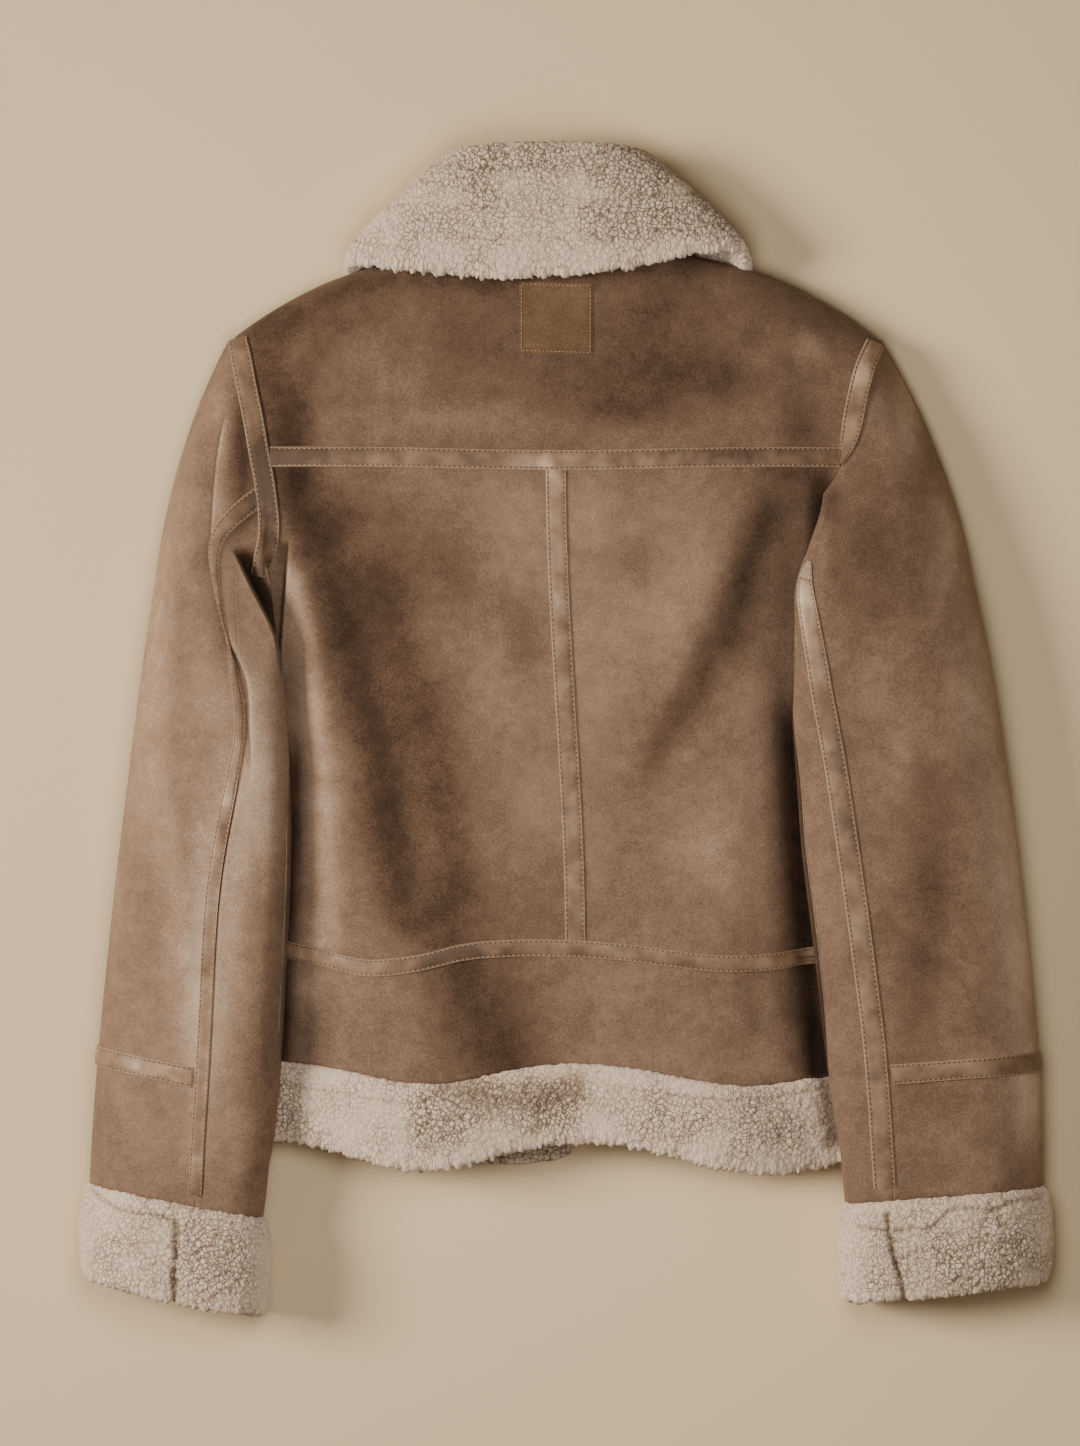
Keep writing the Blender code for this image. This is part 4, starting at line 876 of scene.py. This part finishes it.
# where the sleeve folds over itself, the tape goes under the fold and comes out beside it
sew_tape("left_sleeve_tape", "sleeve_left_seam_tape", left_armhole_skin, line=(
    (-193.5, 154.5, 13), (-201.5, 149.4, 13), (-208.5, 144, 12.5), (-215.2, 138.1, 11.5), (-221.5, 131.5, 10.5),
    (-226, 124, 9), (-228.2, 114, 7), (-227.7, 103, 5.2), (-226.2, 91, 4.4), (-223.6, 78, 3.2),
    (-221, 66, 1.6), (-218.6, 56.5, 1.6), (-217.5, 46.4, 3.5), (-215.6, 37.3, 5.0),
    (-212.9, 22, 6.2), (-211.3, 8, 6.4), (-212.7, -10.5, 6.6), (-216, -30, 7.4),
    (-220, -52, 8.2), (-225, -78, 8.5), (-229.2, -110, 8.6), (-231.6, -145, 8.7),
    (-233.2, -182, 8.8), (-235.5, -222, 8.8), (-238.2, -262, 8.8), (-240.8, -306, 8.8),
    (-241.2, -312, 8.8)))
sew_tape("right_sleeve_tape", "sleeve_right_seam_tape", right_skin, line=(
    (156.9, 109.2, 2.5), (155.0, 104, 6.2), (153.9, 93.7, 9.9), (156.0, 76.2, 12.3), (161.0, 47.8, 13.5),
    (164.8, 24, 14), (168.6, 4, 14.3), (173, -20, 14.4), (178.5, -55, 14.4), (183.5, -89, 14.4),
    (188.6, -125, 14.4),
    (193.4, -161, 14.4), (197.9, -196.3, 14.4), (201.8, -240, 14.4), (205, -286, 14.4), (207, -311, 14.4)))
sew_tape("left_cross_tape", "sleeve_left_cross_tape", left_skin, lift=0.35 * MM, grow=0.5 * MM)
sew_tape("right_cross_tape", "sleeve_right_cross_tape", right_skin, lift=0.35 * MM, grow=0.5 * MM)
sew_tape("left_armhole_binding", "armhole_tape_left", left_armhole_skin, lift=0.6 * MM, line=(
    (-213.7, 254.0, 12), (-212.2, 247, 13), (-207.8, 224.3, 13), (-203.2, 201.5, 13),
    (-199.3, 178.8, 13), (-196.4, 164.5, 13), (-193.8, 144.3, 13), (-193.0, 128, 13),
    (-194.6, 119, 13), (-196.2, 112, 12.5), (-197.7, 106, 11.5), (-199.4, 100, 9)))
sew_tape("right_armhole_binding", "armhole_tape_right", right_armhole_skin, lift=0.6 * MM, line=(
    (200.6, 251.6, 12), (194, 236.6, 13), (189.4, 220.4, 13), (185.4, 200, 13), (183.2, 190, 11.5),
    (181.2, 182, 8.5), (179.4, 176, 5), (178.2, 172, 2)))


# ---------------------------------------------------------------- the patch
# A bare square of the same suede, 47 mm wide, under the collar, sewn on close to its edge
# with a paler thread. Its face is a shade yellower than the yoke.
PATCH_SUEDE = microsuede("microsuede_patch", "#443121", "#5f4935", "#7a614b", "#97795f")


PATCH = 0.047


def sew_patch():
    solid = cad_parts["back_patch"]
    points = np.array([v.co for v in solid.data.vertices])
    flat = points[:, :2]
    corners = [points[np.argmax((flat * way).sum(axis=1))] for way in ((-1, 1), (1, 1), (1, -1), (-1, -1))]
    cells = 26
    grid, under = [], []
    for i in range(cells + 1):
        for j in range(cells + 1):
            u, v = i / cells, j / cells
            spot = (corners[0] * (1 - u) * (1 - v) + corners[1] * u * (1 - v)
                    + corners[2] * u * v + corners[3] * (1 - u) * v)
            hit = back_skin.find_nearest(Vector(spot))
            rim = min(u, v, 1 - u, 1 - v) * PATCH / MM
            height = 0.35 + 0.55 * float(ease(np.array(rim / 0.9))) - 0.30 * math.exp(-((rim - 2.0) / 0.9) ** 2)
            grid.append(tuple(hit[0] + hit[1] * height * MM))
            under.append(tuple(hit[0] - hit[1] * 0.3 * MM))
    faces = []
    wide = cells + 1
    count = wide * wide
    for i in range(cells):
        for j in range(cells):
            a = i * wide + j
            faces.append((a, a + 1, a + wide + 1, a + wide))
            faces.append(tuple(count + k for k in (a + wide, a + wide + 1, a + 1, a)))
    rim = ([j for j in range(cells)] + [i * wide + cells for i in range(cells)]
           + [cells * wide + j for j in range(cells, 0, -1)] + [i * wide for i in range(cells, 0, -1)])
    for a, b in zip(rim, rim[1:] + rim[:1]):
        faces.append((b, a, count + a, count + b))
    mesh = bpy.data.meshes.new("patch")
    mesh.from_pydata(grid + under, [], faces)
    patch = placed("patch", mesh)
    mesh.materials.append(PATCH_SUEDE)
    face_out(patch, 60)
    lines = []
    for a, b in ((0, 1), (1, 2), (2, 3), (3, 0)):
        start, end = corners[a], corners[b]
        inward = (sum(corners) / 4 - (start + end) / 2)
        inward = inward / np.linalg.norm(inward) * 1.7 * MM
        way = (end - start) / np.linalg.norm(end - start)
        begin, stop = start + way * 0.6 * MM + inward, end - way * 0.6 * MM + inward
        steps = int(np.linalg.norm(stop - begin) / (2.5 * MM))
        spots, outs = [], []
        for k in range(steps + 1):
            hit = back_skin.find_nearest(Vector(begin + (stop - begin) * k / steps))
            spots.append(np.array(hit[0] + hit[1] * 0.85 * MM))
            outs.append(np.array(hit[1]))
        lines.append((spots, outs))
    thread = placed("patch_stitches", bpy.data.meshes.new("patch_stitches"))
    stitch_mesh(thread, lines, 2.0 * MM, 0.36 * MM)
    for piece in (patch, thread):
        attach(piece, "root")
    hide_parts("back_patch")


sew_patch()


# ---------------------------------------------------------------- the collar
# A wide collar of knitted sherpa, sewn to the neck and turned over: it stands round the
# neck and its leaf falls down the back. The pile is curled, and combs out at the edges.
def sherpa():
    """Sherpa, polyester pile on a knit, tumbled into curls 3 mm wide that gather in tufts: matt, with painted
    light on the tips and painted shade down in the partings, and a soft bloom at its edge."""
    pile, surface = plain("polyester_sherpa", {
        "Roughness": 1.0, "Specular IOR Level": 0.08, "Sheen Weight": 0.5, "Sheen Roughness": 0.6,
        "Sheen Tint": linear("#efe4d8")})
    place = node(pile, "ShaderNodeTexCoord").outputs["Object"]
    combed = stored(pile, "combed", "Vector")
    crisp = stored(pile, "crisp")
    tumble = node(pile, "ShaderNodeTexNoise", {  # the curls lean about, 5 mm
        "Vector": combed, "Scale": 1 / 0.005, "Detail": 3.0, "Roughness": 0.6}).outputs["Color"]
    middled = node(pile, "ShaderNodeVectorMath", {
        0: tumble, 1: (0.5, 0.5, 0.5)}, operation="SUBTRACT").outputs[0]
    leaning = node(pile, "ShaderNodeVectorMath", {
        0: middled, 1: (0.0034, 0.0034, 0.0034), 2: combed}, operation="MULTIPLY_ADD").outputs[0]

    def rounds(size, reach, soft, clear):
        """Round cells of a size, with painted light on top and painted shade between them, as dark as the pile
        there is crisp.
        """
        cells = node(pile, "ShaderNodeTexVoronoi", {
            "Vector": leaning, "Scale": 1 / size}, feature="DISTANCE_TO_EDGE").outputs["Distance"]
        round_top = node(pile, "ShaderNodeMapRange", {
            "Value": cells, "From Min": 0.0, "From Max": reach},
            interpolation_type="SMOOTHSTEP").outputs["Result"]
        least = node(pile, "ShaderNodeMapRange", {
            "Value": crisp, "From Min": 0.0, "From Max": 1.0,
            "To Min": soft, "To Max": clear}).outputs["Result"]
        return node(pile, "ShaderNodeMapRange", {
            "Value": round_top, "From Min": 0.0, "From Max": 1.0,
            "To Min": least, "To Max": 1.0}).outputs["Result"]

    both = node(pile, "ShaderNodeMath", {  # 3 mm curls, in 9 mm tufts of them
        0: rounds(0.0031, 0.14, 0.80, 0.32), 1: rounds(0.0090, 0.07, 0.92, 0.62)},
        operation="MULTIPLY").outputs[0]
    fibres = node(pile, "ShaderNodeTexNoise", {  # strands of fibre, 1 mm, coarser than the fibres
        "Vector": place, "Scale": 1 / 0.0010, "Detail": 2.0, "Roughness": 0.7}).outputs["Fac"]
    drift = node(pile, "ShaderNodeTexNoise", {  # 30 mm, the dye's slight drift
        "Vector": place, "Scale": 1 / 0.030, "Detail": 2.0}).outputs["Fac"]
    # the stored curl tone carries painted light and painted shade
    lit = node(pile, "ShaderNodeMath", {0: both, 1: stored(pile, "curl")}, operation="MULTIPLY").outputs[0]
    speck = node(pile, "ShaderNodeMath", {0: fibres, 1: 0.5}, operation="SUBTRACT").outputs[0]
    tone = node(pile, "ShaderNodeMath", {0: speck, 1: 0.16, 2: lit}, operation="MULTIPLY_ADD").outputs[0]
    colour = shades(pile, tone, (
        (0.10, "#4a3b2e"), (0.36, "#7f6a57"), (0.58, "#b09c89"), (0.80, "#cdbaa7"), (1.0, "#dac8b5")))
    light = node(pile, "ShaderNodeMapRange", {
        "Value": drift, "From Min": 0.35, "From Max": 0.75, "To Min": 0.0, "To Max": 0.20}).outputs["Result"]
    toned = node(pile, "ShaderNodeMix", {
        "Factor": light, "A": colour, "B": linear("#c6b09b")}, data_type="RGBA")
    join(pile, toned.outputs["Result"], surface, "Base Color")
    fuzz = node(pile, "ShaderNodeBump", {"Height": fibres, "Strength": 0.6, "Distance": 0.0006})
    relief = node(pile, "ShaderNodeBump", {
        "Height": both, "Strength": 0.9, "Distance": 0.0009, "Normal": fuzz.outputs["Normal"]})
    join(pile, relief.outputs["Normal"], surface, "Normal")
    return pile


SHERPA = sherpa()


CURL = 4.6 * MM  # how far apart the curls are
RISE = 1.0 * MM  # how far a curl stands over the partings
noise.seed_set(5)  # noise_vector is seeded from the clock otherwise, and the curls would differ each run


def plush(name, solid, grain, edge, crispness, partings, seed, puff):
    """The skin of a pile solid, worked into curls. edge is the line that it is combed towards, crispness
    says how clearly the curls part at each place, and partings are lines between them, each with painted
    shade along it."""
    piece = skin_copy(name, solid, SHERPA)
    worked(piece, "SUBSURF", levels=2, render_levels=2)
    worked(piece, "REMESH", mode="VOXEL", voxel_size=grain)
    mesh = piece.data
    points, out = places(mesh), places(mesh, "normal")
    rng = np.random.default_rng(seed)
    roots = points[rng.permutation(len(points))[:int(len(points) * (grain / CURL) ** 2)]]

    def tree_of(places_of):
        tree = KDTree(len(places_of))
        for k, p in enumerate(places_of):
            tree.insert(p, k)
        tree.balance()
        return tree

    def bent_about(spots, far, size):
        return np.array([p + far * np.array(noise.noise_vector(Vector(p) / size)) for p in spots])

    def comb(spots):
        """Each spot's distance in mm from the edge, up to 40, and the way that its pile lies."""
        far, way = np.full(len(spots), 40.0), np.tile([0.0, -1.0, -0.15], (len(spots), 1))
        if edge:
            which, away, _, _, to_line = near_line(spots, edge, 40)
            far[which] = np.minimum(away, 40)
            way[which, :2] = to_line * -np.sign(to_line[:, 1:])
        return far, way / np.linalg.norm(way, axis=1, keepdims=True)

    for _ in range(2):
        tree = tree_of(roots)
        owner = np.array([tree.find(p)[1] for p in points[::3]])
        total = np.stack([np.bincount(owner, points[::3, k], len(roots)) for k in range(3)], axis=1)
        held = np.bincount(owner, minlength=len(roots))[:, None]
        roots = np.where(held > 0, total / np.maximum(held, 1), roots)
    far, way = comb(roots)
    drawn = 1.15 + 1.35 * np.exp(-((far / 11) ** 2))
    way = way + rng.normal(size=roots.shape) * np.where(drawn > 1.5, 0.25, 1.5)[:, None]
    way /= np.linalg.norm(way, axis=1, keepdims=True)
    heads = roots[rng.permutation(len(roots))[:max(len(roots) // 7, 2)]]
    clumps = tree_of(heads)
    strayed = bent_about(roots, 3.5 * MM, 11 * MM)
    clump = np.array([clumps.find(p)[1] for p in strayed])
    tree = tree_of(roots)
    bent = bent_about(points, 0.9 * MM, 3.4 * MM)
    near = np.array([[hit[1] for hit in tree.find_n(p, 5)] for p in bent])
    away = bent[:, None] - roots[near]
    along = (away * way[near]).sum(axis=2)
    reach = np.sqrt(np.maximum((away**2).sum(axis=2) - (1 - drawn[near] ** -2.0) * along**2, 0))
    order = np.argsort(reach, axis=1)[:, :2]
    first, second = np.take_along_axis(reach, order, axis=1).T
    mine, other = np.take_along_axis(near, order, axis=1).T
    between = (second - first) / CURL
    deep = clump[mine] != clump[other]
    crisp = crispness(points)
    parted = np.where(deep, (0.4 + 0.6 * crisp) * np.exp(-((between / 0.24) ** 2)),  # between tufts
                      (0.15 + 0.55 * crisp) * np.exp(-((between / 0.2) ** 2)))  # between a tuft's own curls
    crown = 1 - (first / CURL / 0.8) ** 2
    own = rng.uniform(-0.3, 0.3, len(roots))[mine]
    line_cut = np.zeros(len(points))
    painted_parting_shade = np.zeros(len(points))
    for line, half, depth, dark in partings:
        which, off, *_ = near_line(points, line, 4 * half)
        wander = 1 + 0.35 * np.array([noise.noise((x / (6 * MM), y / (6 * MM), depth))
                                      for x, y, _ in points[which]])
        dip = np.exp(-((off / (half * wander)) ** 2)) * ease((points[which, 2] / MM - 8) / 8)
        line_cut[which] += depth * dip
        painted_parting_shade[which] = np.maximum(painted_parting_shade[which], dark * dip)
    far, tip_way = comb(points)
    at_edge = np.exp(-((far / 9) ** 2))
    at_tip = np.maximum((out * tip_way).sum(axis=1), 0) * at_edge
    ragged = rng.uniform(-0.6, 1.0, len(roots))[mine]
    height = RISE * (0.42 * crown + own - 0.85 * parted) + puff - line_cut * MM
    height += at_tip * (1.6 + 1.6 * crown + 1.8 * ragged - 1.6 * parted) * MM
    floor = ease(points[:, 2] / MM / 3)
    height = height * np.where(out[:, 2] < -0.3, 0.35, 1.0) * (0.25 + 0.75 * floor)
    drawn_back = 6.2 * MM * (1 - np.exp(-far / 11))
    store(mesh, "combed", points + tip_way * drawn_back[:, None], "FLOAT_VECTOR")
    points = points + out * height[:, None]
    points[:, 2] = np.maximum(points[:, 2], 0.0)
    mesh.vertices.foreach_set("co", points.ravel())
    # the curls' tone: painted light on their tops and on the tips combed out at the edges, painted shade in the
    # partings and along the parting lines, and each curl's own random shade
    tone = np.clip(0.90 + 0.10 * crown + 0.12 * own - 0.36 * parted - painted_parting_shade + 0.12 * at_tip, 0, 1)
    store(mesh, "curl", tone)
    store(mesh, "crisp", crisp)
    mesh.update()
    bpy.ops.object.shade_smooth()
    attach(piece, "root")
    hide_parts(solid)
    return piece


LEAF_EDGE = ((-146, 301), (-108, 300), (-60, 296), (-26, 293.5), (11, 297), (41, 301), (86, 309), (118, 307))


def crisp_near(points, spots, least):
    """How clearly the curls part: most near some spots, each a middle (x, y), its reach (x, y) and how much."""
    total = least + 0.5 * np.array([noise.noise(Vector(p) / (22 * MM)) for p in points])
    for middle, reach, much in spots:
        away = (points[:, :2] / MM - middle) / reach
        total += much * np.exp(-((away**2).sum(axis=1)) ** 2)
    return np.clip(total, 0, 1)


def collar_crispness(points):
    """Clearest on the right, where the leaf bends, and along the top; pressed flatter elsewhere."""
    return crisp_near(points, (
        ((41, 365), (34, 17), 0.9), ((44, 329), (38, 14), 0.9), ((90, 330), (22, 15), 0.7),
        ((-30, 371), (46, 10), 0.7),
        ((-66, 360), (28, 12), 0.5), ((-82, 327), (36, 13), 0.3), ((-41, 341), (22, 10), 0.4)), 0.38)


# Partings in the collar's pile: points (x, y), half width, depth in mm, and how much painted shade darkens the
# pile along it
COLLAR_PARTINGS = (
    (((11, 337), (19, 342), (37, 345), (55, 347), (79, 348), (98, 344)), 1.6, 1.0, 0.25),
    (((-84, 366), (-52, 362), (-26, 366), (4, 362)), 1.3, 0.7, 0.16),
    (((-122, 338), (-96, 342), (-66, 336), (-44, 340)), 1.2, 0.7, 0.14),
    (((-104, 320), (-82, 324), (-52, 318), (-20, 322), (4, 316)), 1.2, 0.6, 0.12),
    (((-140, 318), (-120, 314), (-92, 312)), 1.3, 0.6, 0.14),
)
plush("collar_pile", "collar", 1.28 * MM, LEAF_EDGE, collar_crispness, COLLAR_PARTINGS, seed=11,
      puff=1.7 * MM)


# ---------------------------------------------------------------- the cuffs
# A band of the same sherpa at each wrist, turned out over the sleeve's raw edge. It is
# joined down its upper side, where the two ends butt and the knit shows between them.
def cuff_crispness(points):
    return crisp_near(points, (
        ((-230, -345), (26, 26), 0.7), ((-286, -345), (24, 20), 0.3), ((270, -342), (38, 26), 0.7),
        ((195, -345), (16, 22), 0.3)), 0.25)


# Partings in the cuffs' pile, the same; the second of each cuff is where the two ends butt
LEFT_CUFF_PARTINGS = (
    (((-305.6, -299.7), (-294.9, -307.9), (-281.2, -312.5), (-265.6, -312.5), (-256.5, -315.9)),
     1.7, 1.6, 0.34),
    (((-252.7, -317.9), (-252.0, -337.1), (-253.6, -358.8), (-253, -372)), 2.0, 2.0, 0.55),
    (((-250, -300), (-238, -310), (-226, -311), (-212, -306)), 1.3, 0.8, 0.2),
    (((-252, -336), (-268, -330), (-284, -334), (-300, -328)), 1.1, 0.7, 0.2),
    (((-252, -342), (-236, -336), (-220, -340), (-206, -334)), 1.1, 0.7, 0.2),
)
RIGHT_CUFF_PARTINGS = (
    (((189.3, -321), (204.4, -323.4), (220.8, -322.9), (237.9, -322), (243.7, -313.3), (254.1, -308.6),
      (266.6, -309.6), (279, -310.6), (285.7, -305.8), (308, -303.9)), 1.7, 1.6, 0.34),
    (((207.4, -313.4), (207.9, -322.9), (212.2, -342.9), (217, -357.2), (219, -372)), 2.0, 2.2, 0.6),
    (((214, -342), (232, -334), (250, -338), (270, -330), (294, -332)), 1.1, 0.8, 0.22),
    (((210, -336), (200, -342), (190, -340)), 1.1, 0.7, 0.2),
)
LEFT_CUFF_EDGE = ((-312, -362), (-290, -367), (-262, -373), (-236, -379), (-212, -383), (-198, -382))
RIGHT_CUFF_EDGE = ((178, -372), (200, -375), (226, -375), (258, -372), (290, -366), (308, -362))
plush("left_cuff_pile", "cuff_left", 1.2 * MM, LEFT_CUFF_EDGE, cuff_crispness, LEFT_CUFF_PARTINGS,
      seed=23, puff=1.6 * MM)
plush("right_cuff_pile", "cuff_right", 1.2 * MM, RIGHT_CUFF_EDGE, cuff_crispness, RIGHT_CUFF_PARTINGS,
      seed=29, puff=1.6 * MM)


# ---------------------------------------------------------------- the hem
# The sherpa lining comes out below the band, round the whole hem, as a trim about 30 mm
# deep. The band's edge rests on it in waves.
def hem_crispness(points):
    # the last spot, on the fronts' trim below the middle, makes its partings crisper and darker, as painted
    # shade below the back's hem
    return crisp_near(points, (
        ((-184, -243), (16, 20), 0.6), ((-82, -252), (22, 22), 0.9), ((-22, -243), (32, 17), 0.9),
        ((64, -250), (36, 17), 0.5), ((130, -254), (30, 20), 0.6), ((-15, -284), (44, 14), 0.7)), 0.25)


# The same for the hem: the first is the parting under the band's edge, the second is painted shade on the pile
# below the band's middle, the third a dip with painted shade beside the right sleeve
HEM_PARTINGS = (
    (((-206, -228), (-170, -232), (-130, -238), (-100, -243), (-70, -238), (-36, -232), (0, -229), (40, -232),
      (80, -238), (118, -241), (150, -236), (172, -232)), 1.5, 0.8, 0.22),
    (((-76, -230), (-46, -240), (-20, -240), (6, -232)), 12, 0.5, 0.38),
    (((167, -216), (172, -240), (176, -266)), 8, 3.0, 0.66),
)
HEM_EDGE = ((-212, -268), (-170, -272), (-130, -281), (-96, -286), (-60, -279), (-20, -266), (20, -262),
            (60, -267), (100, -279), (134, -286), (170, -282), (206, -274))
plush("hem_pile_back_trim", "hem_pile_back", 1.28 * MM, HEM_EDGE, hem_crispness, HEM_PARTINGS,
      seed=31, puff=1.2 * MM)
for side, seed in (("left", 37), ("right", 41)):
    plush(f"hem_pile_{side}_front_trim", f"hem_pile_front_{side}", 2.0 * MM, (), hem_crispness, (),
          seed=seed, puff=1.2 * MM)


# ---------------------------------------------------------------- the cut of the cloth
# Each piece of cloth as it was cut: its width and length before sewing, and what it rests on. A sleeve's
# upper and under pieces go round the tube together. cut() does nothing with these.
cut(yoke, (0.43, 0.17), ["left_back_panel", "right_back_panel"])
cut(left_back, (0.25, 0.34), ["left_front_panel"])
cut(right_back, (0.25, 0.34), ["right_front_panel"])
cut(band, (0.52, 0.11), ["left_front_panel", "right_front_panel"])
cut(left_front, (0.26, 0.53), ["table"])
cut(right_front, (0.26, 0.53), ["table"])
for (side, part), piece in sleeve_cloth.items():
    size = {"upper": (0.19, 0.46), "under": (0.17, 0.56), "forearm": (0.17, 0.10)}[part]
    cut(piece, size, [f"{side}_back_panel", "table"])


# ---------------------------------------------------------------- the table and the light
# A plain pale table, a large soft light from the left, two weak ones, and the camera straight above.
def painted_board():
    """Painted board, rolled with matt emulsion: even and warm, with no gloss."""
    return plain("painted_board", {
        "Base Color": linear("#dcc8a6"), "Roughness": 0.95, "Specular IOR Level": 0.1})[0]


bpy.ops.object.select_all(action="DESELECT")
bpy.ops.mesh.primitive_plane_add(size=6.0, location=(0, 0, -0.0003))
table = bpy.context.active_object
table.name = "table"
table.data.materials.append(painted_board())


def soft_light(name, place, size, power, colour):
    lamp = bpy.data.lights.new(name, "AREA")
    lamp.shape, lamp.size, lamp.energy, lamp.color = "DISK", size, power, linear(colour)[:3]
    held = placed(name, lamp)
    held.location, held.visible_camera = place, False
    held.rotation_euler = (-Vector(place)).to_track_quat("-Z", "Y").to_euler()


soft_light("window", (-3.1, 0.4, 1.95), 1.3, 188, "#fff4e6")
soft_light("overhead", (0.0, 0.0, 1.0), 0.6, 6.2, "#fff6ec")
soft_light("reflector", (2.2, -1.5, 1.2), 1.2, 8, "#fff0de")
world = bpy.data.worlds.new("room")
world.use_nodes = True
world.node_tree.nodes["Background"].inputs["Color"].default_value = linear("#f2e6d6")
world.node_tree.nodes["Background"].inputs["Strength"].default_value = 0.13
bpy.context.scene.world = world

FAR = 5.0
camera = placed("camera", bpy.data.cameras.new("camera"))
camera.data.sensor_fit = "VERTICAL"
camera.data.sensor_height = 36.0
camera.data.lens = 36.0 * FAR / 0.9399
camera.location = (-17.3 * MM, 4.6 * MM, FAR + 0.025)
bpy.context.scene.camera = camera
